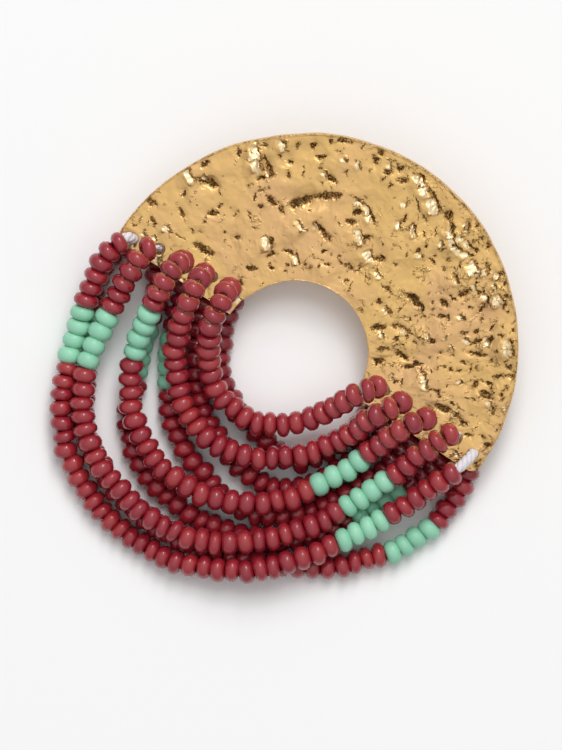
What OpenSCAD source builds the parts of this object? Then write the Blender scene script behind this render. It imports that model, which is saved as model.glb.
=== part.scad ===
// Beaded earring: a hammered C-shaped plate with an ear post, and ten strings of seed beads
// that hang from arm to arm. It lies on its beads and on the tip of its post.

/* [Plate] */
// Outer diameter of the plate
plate_d = 56; // [55.5:0.1:56.5]
// Diameter of the round hole in the plate
window_d = 18.6; // [17:0.1:19]
// Thickness of the metal
plate_t = 1.2; // [1:0.05:1.3]
// Height of the hammered relief above and below the mean face
relief = 0.28; // [0:0.01:0.3]
// Lean of the lying plate
plate_tilt = 12.5; // [12:0.1:13]

/* [Thread holes] */
// Diameter of each thread hole
thread_hole_d = 1.6; // [1.4:0.05:1.8]
// Diameter of the white thread
thread_d = 0.9; // [0.6:0.05:1]

/* [Ear post] */
// Diameter of the ear post
post_d = 0.9; // [0.7:0.05:1]
// Distance of the post from the centre of the disc
post_out = 23.5; // [23:0.1:24]
// Diameter of the solder pad that carries the post
pad_d = 4; // [3:0.1:5]

/* [Beads] */
// Diameter of a string of beads
string_d = 2.9; // [2.4:0.05:2.9]

/* [Hidden] */

// Where the lying plate sits: centre of its back face, and the turn of its cut edge
plate_at = [2.9, 2, 4.35];
plate_turn = -33.4;
// The window's centre and the cut edge, measured on the plate
window_at = [-0.4, -1.3];
cut_at = -2.1;
// Round of the two outer tips of the arms
tip_r = 1.4;
// Faces along the C and across it
plate_steps = 72;
band_steps = 15;

// Thread holes on the plate, outermost first on each arm
left_holes = [[-26.2, -0.8], [-22.6, 0], [-18.8, 0.5], [-14.9, 0.8], [-11.6, 1.2]];
right_holes = [[26, 0.1], [23.1, 0.8], [19.2, 0.8], [15.1, 1.2], [11.8, 0.8]];

// Bold marks of the hammer: along the plate, across it, length, width, turn, and rise or depth
marks = [
    [-18.5, 16.5, 4.5, 1.8, 120, 0.3],
    [-24.5, 10, 3, 1.8, 120, 0.25],
    [-16.5, 20.5, 4, 2, 75, 0.3],
    [-9, 12.5, 5, 1.5, 75, 0.3],
    [-11.5, 8, 4, 1.8, 60, 0.25],
    [-23.5, 2.5, 3, 2, 100, 0.2],
    [2, 25, 5.5, 1.8, -35, 0.35],
    [8, 22.5, 5, 1.6, 120, 0.3],
    [17.5, 18.5, 5, 2.2, 100, 0.35],
    [22, 14, 5, 2.2, 110, 0.3],
    [14, 3.5, 2.6, 2.2, 0, 0.3],
    [-9, 16.5, 7, 1.7, 20, -0.35],
    [-16.5, 17, 3.5, 1.6, 80, -0.3],
    [-21.5, 11, 3.5, 1.4, 50, -0.3],
    [-3, 18.5, 4, 3.4, 0, -0.3],
    [0, 11.5, 4.5, 1.6, 60, -0.3],
    [-0.5, 26.5, 4.5, 1.4, 15, -0.3],
    [10.5, 5, 5, 1.5, 40, -0.35],
    [16.5, 17, 3, 1.4, 100, -0.3],
    [19.5, 2.5, 3, 1.5, 30, -0.25],
];

// Moves the whole earring so that its box is centred over the origin
centring = [-0.18, -0.24, 0];

// Routes of the strings, in the lying frame: points on the middle of the string
front_1 = [
    [-20.6, 15.5, 6.8], [-22, 14.5, 6.9], [-23.3, 12.8, 6.4], [-24.4, 10.8, 5.8],
    [-25.1, 8.8, 5.3], [-25.8, 6.8, 4.75], [-26.5, 4.8, 4.15], [-27.1, 2.8, 3.6],
    [-27.7, 0.6, 3.5], [-28.3, -2, 3.4], [-28.8, -5, 3.3], [-28.9, -7.5, 3.2],
    [-28.7, -10, 2.9], [-28.1, -12.5, 2.5], [-26.9, -15.2, 2.1], [-25.1, -17.9, 1.9],
    [-23.2, -20.4, 1.7], [-20.8, -22.6, 1.6], [-18, -24.4, 1.8], [-14.8, -26.1, 2.4],
    [-11.2, -27.1, 3.2], [-7.6, -27.6, 3.8], [-4, -27.6, 4.3], [-0.5, -26.9, 4.5],
    [3.3, -25.7, 4.5], [6.5, -24.2, 4.3], [9.9, -22.4, 4.1], [13.3, -20.8, 4.2],
    [16.1, -18.9, 4.6], [18.7, -17, 5.3], [20.8, -15.6, 6], [22.6, -14.3, 6.5],
];
front_2 = [
    [-16.7, 14.3, 7.2], [-18.1, 13.8, 7.6], [-19.2, 12.6, 7.6], [-20.1, 11, 7.3],
    [-21, 9.3, 6.8], [-21.9, 7.6, 6.2], [-22.8, 5.8, 5.7], [-23.8, 3.9, 5.4],
    [-24.7, 1.9, 5.2], [-25.4, -0.2, 5], [-25.9, -2.3, 4.9], [-26.1, -4.8, 4.7],
    [-26.2, -7.4, 4.6], [-25.6, -9.7, 4.5], [-24.6, -12.2, 4.5], [-23.2, -14.8, 4.6],
    [-21.6, -16.8, 4.6], [-19.8, -18.8, 4.5], [-17.6, -20.6, 4.5], [-15.2, -22, 4.5],
    [-12.6, -23.3, 4.5], [-10, -23.8, 4.5], [-7, -24, 4.5], [-4.6, -23.9, 4.5],
    [-1.8, -23.4, 4.5], [1, -22.7, 4.5], [3.9, -21.6, 4.5], [6.5, -20.4, 4.5],
    [8.9, -18.9, 4.6], [11.2, -17.3, 4.7], [13.3, -15.8, 5.2], [15.3, -14.3, 5.9],
    [17.1, -12.9, 6.8], [18.7, -11.7, 7.5], [20.1, -10.7, 7.9], [21.4, -10, 7.7],
    [22.4, -9.8, 7.2],
];
front_3 = [
    [-13, 12.5, 6.5], [-13.2, 12.5, 7.6], [-13.6, 12.4, 8.7], [-14.1, 12, 9.6],
    [-14.8, 11.2, 10], [-15.6, 9.9, 9.9], [-16.4, 8.3, 9.2], [-17.1, 6.6, 8.3],
    [-17.9, 4.9, 7.3], [-18.6, 3.3, 6.4], [-19.2, 1.6, 5.7], [-19.7, -0.3, 5.1],
    [-20, -2.6, 4.7], [-19.9, -5, 4.5], [-19.7, -7, 4.5], [-19.1, -9, 4.5],
    [-18.2, -11, 4.5], [-16.8, -13.1, 4.5], [-15.2, -14.8, 4.5], [-13.2, -16.4, 4.5],
    [-10.9, -17.6, 4.5], [-8.4, -18.3, 4.5], [-5.8, -18.7, 4.5], [-2.8, -18.8, 4.5],
    [-0.3, -18.5, 4.5], [2.3, -17.6, 4.5], [4.9, -16.3, 4.5], [7.5, -14.8, 4.6],
    [9.8, -13.3, 5.1], [11.6, -11.9, 6.1], [13, -10.7, 7.1], [14.4, -9.6, 8],
    [15.8, -8.9, 8.7], [17.1, -8.2, 8.7], [18.2, -7.8, 8], [19.1, -7.6, 7],
];
front_4 = [
    [-10.1, 10.9, 6.7], [-10.4, 10.8, 7.7], [-10.8, 10.5, 8.7], [-11.2, 10, 9.6],
    [-11.7, 9, 10.1], [-12.2, 7.8, 9.9], [-12.7, 6.5, 9.3], [-13.2, 5, 8.3],
    [-13.6, 3.4, 7.3], [-14, 1.7, 6.3], [-14.1, -0.2, 5.4], [-14, -2.2, 4.8],
    [-13.6, -4.2, 4.5], [-13, -6, 4.5], [-12, -7.8, 4.5], [-10.8, -9.4, 4.5],
    [-9.3, -10.8, 4.5], [-7.3, -12, 4.5], [-5, -12.8, 4.5], [-2.8, -13, 4.5],
    [-0.6, -12.9, 4.5], [1.6, -12.6, 4.5], [3.9, -12, 4.5], [6.1, -11.2, 4.6],
    [8.1, -10.1, 5.3], [9.8, -8.9, 6.5], [11.3, -7.9, 7.6], [12.7, -7.1, 8.5],
    [14, -6.4, 8.7], [15.1, -5.9, 8], [15.9, -5.5, 7],
];
front_5 = [
    [-6.9, 9.3, 6.6], [-7.1, 9.1, 7.7], [-7.4, 8.7, 8.8], [-7.8, 7.9, 9.7],
    [-8.3, 6.9, 10.1], [-8.9, 5.7, 9.9], [-9.3, 4.4, 9.2], [-9.6, 3, 8.3],
    [-9.8, 1.4, 7.1], [-9.8, -0.2, 6], [-9.5, -2, 5.1], [-8.9, -3.8, 4.6],
    [-7.8, -5.4, 4.5], [-6.3, -6.7, 4.5], [-4.7, -7.8, 4.5], [-2.8, -8.5, 4.5],
    [-0.9, -8.7, 4.5], [1, -8.6, 4.5], [2.9, -8.1, 4.7], [4.7, -7.3, 5.4],
    [6.3, -6.4, 6.5], [7.8, -5.6, 7.7], [9.2, -4.9, 8.6], [10.6, -4.3, 8.9],
    [11.8, -3.9, 8.2], [12.6, -3.7, 7.1],
];
back_1 = [
    [-20.4, 15, 2.3], [-22.2, 13.6, 1.8], [-23.6, 11.8, 1.45], [-24.6, 9.6, 1.45],
    [-25.2, 7.4, 1.45], [-25.1, 5.4, 1.45], [-25, 3.4, 1.45], [-25.3, 1.4, 1.45],
    [-25.7, -0.6, 1.45],
    [-26, -2.6, 1.45], [-26.2, -5, 1.45], [-26.2, -8, 1.45], [-25.6, -10.2, 1.45],
    [-24.6, -12.6, 1.45], [-23.4, -14.9, 1.45], [-21.9, -17, 1.45], [-20.1, -19, 1.45],
    [-18, -20.9, 1.45], [-15.6, -22.5, 1.45], [-13, -23.8, 1.45], [-10.2, -24.8, 1.45],
    [-7.4, -25.6, 1.45], [-4.4, -26.2, 1.45], [-1.4, -26.7, 1.45], [1.6, -27, 1.45],
    [4.4, -27.2, 1.45], [7, -27, 1.45], [9.8, -26.4, 1.45], [12.4, -25.7, 1.45],
    [15.2, -24.8, 1.45], [17.4, -23.4, 1.45], [19.6, -21.8, 1.45], [21.2, -19.8, 1.45],
    [22.5, -17.8, 1.45], [23.6, -15.8, 1.9], [24.3, -14, 2.3],
];
back_2 = [
    [-16.1, 13.5, 2.5], [-16.3, 12, 2.1], [-16.4, 10, 1.6], [-16.6, 7.6, 1.45],
    [-17.2, 5.6, 1.45], [-18, 3.2, 1.45], [-18.6, 1.2, 1.45], [-19.1, -0.8, 1.45],
    [-19.4, -3, 1.45], [-20.1, -5.2, 1.45], [-20.4, -7.4, 1.45], [-20, -9.6, 1.45],
    [-19.4, -12, 1.45], [-18.4, -14.2, 1.45], [-17, -16.2, 1.45], [-15.2, -18, 1.45],
    [-13.2, -19.6, 1.45], [-11, -21, 1.45], [-8.8, -22, 1.45], [-6.6, -22.7, 1.45],
    [-4.2, -23.2, 1.45], [-1.6, -23.6, 1.45], [1, -23.8, 1.45], [3.4, -23.3, 1.45],
    [5.9, -22.5, 1.45], [8.3, -21.3, 1.45], [10.5, -20, 1.45], [12.6, -18.6, 1.45],
    [15, -17.1, 1.45], [17.4, -15.8, 1.45], [19.4, -14.4, 1.45], [21, -12.8, 1.9],
    [22.2, -11.3, 2.3],
];
back_3 = [
    [-12.6, 11.7, 2.6], [-12.8, 10, 2.2], [-13.2, 8, 1.7], [-13.8, 5.8, 1.45],
    [-14.3, 3.6, 1.45], [-14.6, 1.4, 1.45], [-14.9, -0.8, 1.45], [-15.1, -3, 1.45],
    [-14.9, -5.4, 1.45], [-14.7, -7.6, 1.45], [-14, -9.6, 1.45], [-13, -11.6, 1.45],
    [-11.8, -13.4, 1.45], [-10.4, -15.2, 1.45], [-8.8, -17, 1.45], [-7.2, -18.7, 1.45],
    [-5.2, -19.8, 1.45], [-2.8, -20.4, 1.45], [-0.2, -20.6, 1.45], [2.2, -20.4, 1.45],
    [4.5, -19.6, 1.45], [6.6, -18.6, 1.45], [8.7, -17.3, 1.45], [10.9, -16, 1.45],
    [12.9, -14.7, 1.45], [14.7, -13.1, 1.45], [16.3, -11.5, 1.6], [17.6, -10, 2.1],
    [18.6, -8.9, 2.5],
];
back_4 = [
    [-9.4, 9.8, 2.6], [-9.8, 8, 2.2], [-10.3, 6.2, 1.7], [-10.9, 4.4, 1.45],
    [-11.4, 2.4, 1.45], [-11.6, 0.4, 1.45], [-11.7, -1.6, 1.45], [-11.4, -3.6, 1.45],
    [-11, -5.6, 1.45], [-10.2, -7.6, 1.45], [-9, -9.8, 1.45], [-7.6, -12, 1.45],
    [-5.8, -14.2, 1.45], [-3.6, -15.8, 1.45], [-1.2, -16.9, 1.45], [1.2, -17.1, 1.45],
    [3.3, -16.7, 1.45], [5.3, -15.7, 1.45], [7.3, -14.5, 1.45], [9.4, -13.1, 1.45],
    [11.3, -11.6, 1.45], [13.1, -9.9, 1.6], [14.6, -8.2, 2.1], [15.7, -6.6, 2.6],
];
back_5 = [
    [-6.4, 8.3, 2.6], [-6.9, 6.8, 2.2], [-7.5, 5, 1.7], [-8, 3, 1.45],
    [-8.3, 1, 1.45], [-8.4, -1.2, 1.45], [-7.9, -3.4, 1.45], [-7, -5.4, 1.45],
    [-5.6, -7.4, 1.45], [-3.8, -9.4, 1.45], [-1.9, -11.3, 1.45], [0.1, -12.9, 1.45],
    [2.2, -13.5, 1.45], [4.1, -12.8, 1.45], [6.1, -11.6, 1.45], [8, -10.2, 1.45],
    [9.8, -8.6, 1.6], [11.3, -7, 2], [12.6, -5.4, 2.6],
];

// A point on the plate, at a height above its back face, in the lying frame
function rolled(p, a) = [p[0], p[1] * cos(a) - p[2] * sin(a), p[1] * sin(a) + p[2] * cos(a)];
function turned(p, a) = [p[0] * cos(a) - p[1] * sin(a), p[0] * sin(a) + p[1] * cos(a), p[2]];
function on_plate(at, height) =
    turned(rolled([at[0], at[1], height], plate_tilt), plate_turn) + plate_at;

function unit(v) = v / norm(v);
function last(list) = list[len(list) - 1];

// Tube along a route: one ring of faces at each point, its side direction carried on from ring to ring
tube_sides = 8;
function heading(route, i) =
    let(n = len(route) - 1)
    unit(route[min(i + 1, n)] - route[max(i - 1, 0)]);
function across(side, ahead) = unit(side - (side * ahead) * ahead);
function side_at(route, i) =
    i == 0 ? unit(cross(route[4] - route[0], [0, 0, 1])) : across(side_at(route, i - 1), heading(route, i));
function tube_ring(route, i, r, sides) =
    let(
        ahead = heading(route, i),
        side = across(side_at(route, i), ahead),
        up = cross(side, ahead)
    )
    [for (k = [0 : sides - 1])
        route[i] + r * (cos(360 * k / sides) * side + sin(360 * k / sides) * up)];
module tube(route, d, sides = tube_sides) {
    n = len(route);
    rings = [for (i = [0 : n - 1]) each tube_ring(route, i, d / 2, sides)];
    walls = [
        for (i = [0 : n - 2], k = [0 : sides - 1])
            let(
                a = i * sides + k,
                b = i * sides + (k + 1) % sides
            )
            each [[a, b, a + sides], [b, b + sides, a + sides]]
    ];
    near_end = [for (k = [1 : sides - 2]) [0, k + 1, k]];
    far = (n - 1) * sides;
    far_end = [for (k = [1 : sides - 2]) [far, far + k, far + k + 1]];
    polyhedron(points = rings, faces = concat(walls, near_end, far_end), convexity = 10);
}

// Height of the hammered face over a point on the plate: crumples, then the bold marks
function swell(x, y) =
    0.45 * sin(38 * x + 21 * y + 50 * sin(14 * y))
    + 0.35 * sin(-27 * x + 46 * y + 60 * sin(17 * x))
    + 0.3 * sin(61 * x - 33 * y + 40 * sin(25 * y));
function mark_rise(x, y, m) =
    let(
        dx = x - m[0],
        dy = y - m[1],
        along = (dx * cos(m[4]) + dy * sin(m[4])) / m[2],
        across = (dy * cos(m[4]) - dx * sin(m[4])) / m[3],
        far = 4 * (along * along + across * across)
    )
    far > 4 ? 0 : m[5] * pow(1 - far / 4, 2);
function rough(x) = 0.75 + 0.25 * sin(3 * x);
function total(list, i = 0) = i == len(list) ? 0 : list[i] + total(list, i + 1);
function hammered(x, y) =
    relief * rough(x) * swell(x, y) + relief * 2.4 * total([for (m = marks) mark_rise(x, y, m)]);

// A point of the C: along it from the right tip to the left one, and from the window outwards
plate_r = plate_d / 2;
window_r = window_d / 2;
outer_end = asin(cut_at / plate_r);
window_end = asin((cut_at - window_at[1]) / window_r);
arm_w = plate_r * cos(outer_end) - window_r * cos(window_end) - abs(window_at[0]);
arc_length = (180 - 2 * outer_end) / 180 * PI * plate_r;
bands = [for (j = [0 : band_steps]) sin(90 * j / band_steps)];
function tip_round(s) =
    let(into = max(0, s - (1 - tip_r / arm_w)) * arm_w / tip_r)
    tip_r * (1 - sqrt(max(0, 1 - into * into))) / arc_length;
function on_arc(t, s) =
    let(
        held = tip_round(s),
        along = held + (1 - 2 * held) * t,
        a = outer_end + (180 - 2 * outer_end) * along,
        b = window_end + (180 - 2 * window_end) * along
    )
    s * plate_r * [cos(a), sin(a)] + (1 - s) * (window_at + window_r * [cos(b), sin(b)]);

module metal_c() {
    nt = plate_steps;
    ns = band_steps;
    spots = [for (i = [0 : nt], j = [0 : ns]) on_arc(i / nt, bands[j])];
    count = len(spots);
    rim_drop = 0.12;
    front = [for (i = [0 : nt], j = [0 : ns])
        let(
            p = spots[i * (ns + 1) + j],
            edge = i == 0 || i == nt || j == 0 || j == ns
        )
        [p[0], p[1], plate_t + hammered(p[0], p[1]) * (edge ? 0.5 : 1) - (edge ? rim_drop : 0)]];
    back = [for (p = spots) [p[0], p[1], 0.3 * hammered(p[0], p[1])]];
    function at(i, j) = i * (ns + 1) + j;
    tops = [for (i = [0 : nt - 1], j = [0 : ns - 1])
        each [[at(i, j), at(i + 1, j), at(i, j + 1)], [at(i, j + 1), at(i + 1, j), at(i + 1, j + 1)]]];
    unders = [for (f = tops) [f[0] + count, f[2] + count, f[1] + count]];
    rim = concat(
        [for (i = [0 : nt]) at(i, 0)],
        [for (j = [1 : ns]) at(nt, j)],
        [for (i = [nt - 1 : -1 : 0]) at(i, ns)],
        [for (j = [ns - 1 : -1 : 1]) at(0, j)]
    );
    sides = [for (k = [0 : len(rim) - 1])
        let(
            a = rim[k],
            b = rim[(k + 1) % len(rim)]
        )
        each [[b, a, a + count], [b, a + count, b + count]]];
    polyhedron(points = concat(front, back), faces = concat(tops, unders, sides), convexity = 10);
}

// Moves what is built flat on the plate to where the plate lies
module lying() {
    translate(centring + plate_at) rotate([0, 0, plate_turn]) rotate([plate_tilt, 0, 0]) children();
}

// Length of the post from the back face to the floor
post_foot_r = post_d / 2;
post_l = (on_plate([0, post_out], 0)[2] - post_foot_r) / cos(plate_tilt);

module ear_post() {
    sunk = plate_t / 2;
    translate([0, post_out, -post_l]) {
        cylinder(h = post_l + sunk, d = post_d, $fn = 32);
        sphere(d = post_d, $fn = 32);
    }
    translate([0, post_out, -0.5]) cylinder(h = 0.5 + sunk, d = pad_d, $fn = 48);
}

module plate() {
    color("goldenrod") lying() difference() {
        union() {
            metal_c();
            ear_post();
        }
        for (at = concat(left_holes, right_holes))
            translate([at[0], at[1], -3]) cylinder(h = 8, d = thread_hole_d, $fn = 24);
    }
}

module string(route) {
    color([0.62, 0.16, 0.2]) translate(centring) tube(route, string_d);
}

// White thread from a front string, through its hole, to the back string
thread_gap = 0.15;
thread_lead = 0.3;
function thread_route(front, front_next, back, back_next, hole) =
    let(
        off_front = unit(front - front_next),
        off_back = unit(back - back_next),
        reach = norm(front - on_plate(hole, plate_t)),
        lift = min(0.5, 0.3 * (reach - 0.6))
    )
    [
        front + off_front * thread_gap,
        front + off_front * (thread_gap + thread_lead),
        on_plate(hole, plate_t + lift),
        on_plate(hole, -0.4),
        back + off_back * (thread_gap + thread_lead),
        back + off_back * thread_gap
    ];

thread_sides = 6;
module threads(holes, fronts, backs) {
    translate(centring) for (i = [0 : len(holes) - 1])
        tube(thread_route(fronts[i][0], fronts[i][1], backs[i][0], backs[i][1], holes[i]),
            thread_d, thread_sides);
}

function first_two(routes) = [for (r = routes) [r[0], r[1]]];
function last_two(routes) = [for (r = routes) [last(r), r[len(r) - 2]]];
fronts = [front_1, front_2, front_3, front_4, front_5];
backs = [back_1, back_2, back_3, back_4, back_5];

module threads_left() {
    color("whitesmoke") threads(left_holes, first_two(fronts), first_two(backs));
}

module threads_right() {
    color("whitesmoke") threads(right_holes, last_two(fronts), last_two(backs));
}

plate();
string(front_1);  // strand_front_1
string(front_2);  // strand_front_2
string(front_3);  // strand_front_3
string(front_4);  // strand_front_4
string(front_5);  // strand_front_5
string(back_1);  // strand_back_1
string(back_2);  // strand_back_2
string(back_3);  // strand_back_3
string(back_4);  // strand_back_4
string(back_5);  // strand_back_5
threads_left();
threads_right();
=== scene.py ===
"""Beaded earring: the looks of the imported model, piece by piece.

A hammered gold C-shaped plate lies on its beads and on the tip of its ear post. Ten strings of
seed beads hang from arm to arm, and a white thread carries each pair of them through its hole.
"""

from __future__ import annotations

import logging
import math
import random
from dataclasses import dataclass, field
from enum import Enum

import bmesh
import bpy
import numpy as np
from mathutils import Matrix, Vector, noise


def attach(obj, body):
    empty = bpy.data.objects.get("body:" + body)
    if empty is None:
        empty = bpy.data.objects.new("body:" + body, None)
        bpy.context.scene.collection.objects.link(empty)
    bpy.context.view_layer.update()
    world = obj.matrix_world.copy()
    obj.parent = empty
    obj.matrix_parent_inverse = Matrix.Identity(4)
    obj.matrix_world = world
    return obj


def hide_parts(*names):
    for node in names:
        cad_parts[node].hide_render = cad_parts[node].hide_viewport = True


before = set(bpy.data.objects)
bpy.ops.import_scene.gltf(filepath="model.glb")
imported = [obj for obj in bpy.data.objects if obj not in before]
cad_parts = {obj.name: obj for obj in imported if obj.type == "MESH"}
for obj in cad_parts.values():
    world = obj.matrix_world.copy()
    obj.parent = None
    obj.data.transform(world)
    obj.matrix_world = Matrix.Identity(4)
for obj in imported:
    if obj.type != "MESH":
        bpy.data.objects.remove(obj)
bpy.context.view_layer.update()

LOG = logging.getLogger("earring")
MM = 0.001
# Moves the whole earring so that its box is centred over the origin, as in the source
CENTRING = Vector((-0.18, -0.24, 0))
# The plan that the dents are placed by: millimetres to a step, and its upper left corner
STEP = 0.13
CORNER = (-37.035, 46.365)
# Maps stored on the plate's mesh, 0 to 1: how much patina and painted shade darken a point, how
# busy the hammering is there, and how much it is painted paler as a painted highlight
MAPS = ("shade_and_patina", "busy", "highlight_paint")

Pair = tuple[float, float]
Point = tuple[float, float, float]
Colour = tuple[float, float, float]
BMesh = bmesh.types.BMesh
Material = bpy.types.Material
Piece = bpy.types.Object
Socket = bpy.types.NodeSocket
# A point of a line, and the line's direction there
Spot = tuple[Vector, Vector]


class Bead(Enum):
    """Colours of the seed beads, by the record's material slot."""

    RED = "red_bead"
    MINT = "mint_bead"


class Layer(Enum):
    """The strings that leave the holes in front of the plate, or behind it."""

    FRONT = "front"
    BACK = "back"


class Side(Enum):
    """An arm of the plate, as the photograph shows it."""

    LEFT = "left"
    RIGHT = "right"


def direction(azimuth: float, elevation: float) -> Vector:
    """The way towards something, as a unit vector.

    Args:
        azimuth: In degrees, anticlockwise from +X.
        elevation: In degrees above the floor.

    Returns:
        The vector.
    """
    a, e = math.radians(azimuth), math.radians(elevation)
    return Vector((math.cos(a) * math.cos(e), math.sin(a) * math.cos(e), math.sin(e)))


def turned(x: np.ndarray, y: np.ndarray, turn: float) -> tuple[np.ndarray, np.ndarray]:
    """Splits offsets into their parts along a direction and to the left of it.

    Args:
        x: Offsets rightwards.
        y: Offsets upwards.
        turn: The direction, in degrees anticlockwise from +X.

    Returns:
        The parts along it and to the left of it.
    """
    c, s = math.cos(math.radians(turn)), math.sin(math.radians(turn))
    return x * c + y * s, y * c - x * s


def wave(degrees: np.ndarray) -> np.ndarray:
    """The sine of degrees."""
    return np.sin(np.radians(degrees))


def limit(value: float) -> float:
    """The value, held between 0 and 1."""
    return min(1.0, max(0.0, value))


class Nodes:
    """Nodes under construction, in the tree of a material or of the sky."""

    def __init__(self, tree: bpy.types.NodeTree, way: str) -> None:
        """Takes the tree, and the kind of coordinates that its patterns lie in."""
        self.tree = tree
        self.place = tree.nodes.new("ShaderNodeTexCoord").outputs[way]

    def feed(self, node: bpy.types.Node, name: str | int, value: object) -> None:
        """Links an input, or sets it when the value is plain.

        Args:
            node: The node with that input.
            name: The input's name or number.
            value: An output of another node, or a number, vector or colour.
        """
        socket = node.inputs[name]
        if isinstance(value, Socket):
            self.tree.links.new(value, socket)
        else:
            socket.default_value = (*value, 1.0) if socket.type == "RGBA" else value

    def add(self, kind: str, out: str | int, inputs: dict[str | int, object],
            **settings: str) -> Socket:
        """Adds a node.

        Args:
            kind: Its type, after the word ShaderNode.
            out: The name or number of the output that is used.
            inputs: What each input is fed with, by name or number.
            settings: The node's own settings.

        Returns:
            That output.
        """
        node = self.tree.nodes.new("ShaderNode" + kind)
        for name, value in settings.items():
            setattr(node, name, value)
        for name, value in inputs.items():
            self.feed(node, name, value)
        return node.outputs[out]

    def ramp(self, value: Socket, low: float, high: float, to: Pair = (0.0, 1.0)) -> Socket:
        """Maps a range of values onto another one, clamped and smooth.

        Args:
            value: The value.
            low: Start of its range.
            high: End of its range.
            to: Start and end of the other range.

        Returns:
            The mapped value.
        """
        return self.add("MapRange", "Result", {
            "Value": value, "From Min": low, "From Max": high, "To Min": to[0], "To Max": to[1],
        }, interpolation_type="SMOOTHSTEP")

    def mix(self, share: Socket | float, one: object, two: object) -> Socket:
        """A colour between two others, by the share of the second one."""
        return self.add("Mix", 2, {0: share, 6: one, 7: two}, data_type="RGBA")

    def calc(self, one: Socket, how: str, two: Socket | float) -> Socket:
        """Two numbers joined by an operation of the Math node."""
        return self.add("Math", 0, {0: one, 1: two}, operation=how)

    def plus(self, one: Socket, two: Socket | float) -> Socket:
        """The sum of two numbers."""
        return self.calc(one, "ADD", two)

    def times(self, one: Socket, two: Socket | float) -> Socket:
        """The product of two numbers."""
        return self.calc(one, "MULTIPLY", two)

    def towards(self, way: Vector) -> Socket:
        """How well the coordinates' direction agrees with another one, up to 1."""
        return self.add("VectorMath", "Value", {0: self.place, 1: way}, operation="DOT_PRODUCT")


class Recipe(Nodes):
    """A node material under construction, with one Principled shader."""

    def __init__(self, name: str) -> None:
        """Starts a material with a shader and an output.

        Args:
            name: The material's name.
        """
        self.material = bpy.data.materials.new(name)
        self.material.use_nodes = True
        self.material.node_tree.nodes.clear()
        super().__init__(self.material.node_tree, "Object")
        output = self.tree.nodes.new("ShaderNodeOutputMaterial")
        self.shader = self.tree.nodes.new("ShaderNodeBsdfPrincipled")
        self.tree.links.new(self.shader.outputs["BSDF"], output.inputs["Surface"])

    def set(self, **values: object) -> None:
        """Sets inputs of the shader; an underscore in a name stands for a space."""
        for name, value in values.items():
            self.feed(self.shader, name.replace("_", " "), value)

    def noise(self, scale: float, detail: float = 3.0, rough: float = 0.5,
              bend: float = 0.0) -> Socket:
        """Noise over the piece's own coordinates.

        Args:
            scale: Waves in a metre.
            detail: Octaves.
            rough: Weight of the finer octaves.
            bend: Distortion.

        Returns:
            The noise's value, about 0.5 on average.
        """
        return self.add("TexNoise", "Fac", {
            "Scale": scale, "Detail": detail, "Roughness": rough, "Distortion": bend,
            "Vector": self.place,
        })

    def attribute(self, name: str) -> Socket:
        """A number stored on the mesh."""
        return self.add("Attribute", "Fac", {}, attribute_name=name)

    def warped(self, scale: float, amount: float) -> Socket:
        """The piece's own coordinates, bent by noise.

        Args:
            scale: The noise's waves in a metre.
            amount: How far it bends them, in metres.

        Returns:
            The coordinates.
        """
        wander = self.add("TexNoise", "Color", {"Scale": scale, "Vector": self.place})
        moves = {0: wander, 1: (amount, amount, amount), 2: self.place}
        return self.add("VectorMath", 0, moves, operation="MULTIPLY_ADD")

    def cells(self, scale: float, vector: Socket) -> Socket:
        """Soft hollows side by side, as a ball hammer leaves them.

        Args:
            scale: Hollows in a metre.
            vector: The coordinates that they lie in.

        Returns:
            The distance from each hollow's middle.
        """
        return self.add("TexVoronoi", "Distance", {
            "Scale": scale, "Smoothness": 0.35, "Vector": vector,
        }, feature="SMOOTH_F1")

    def bump(self, *layers: tuple[Socket, float, float]) -> Socket:
        """A bumped normal.

        Args:
            layers: From the lowest one up: its heights, their scale in metres and its strength.

        Returns:
            The normal.
        """
        under: dict[str, Socket] = {}
        for height, distance, strength in layers:
            under = {"Normal": self.add("Bump", "Normal", {
                "Height": height, "Distance": distance, "Strength": strength, **under,
            })}
        return under["Normal"]


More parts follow.
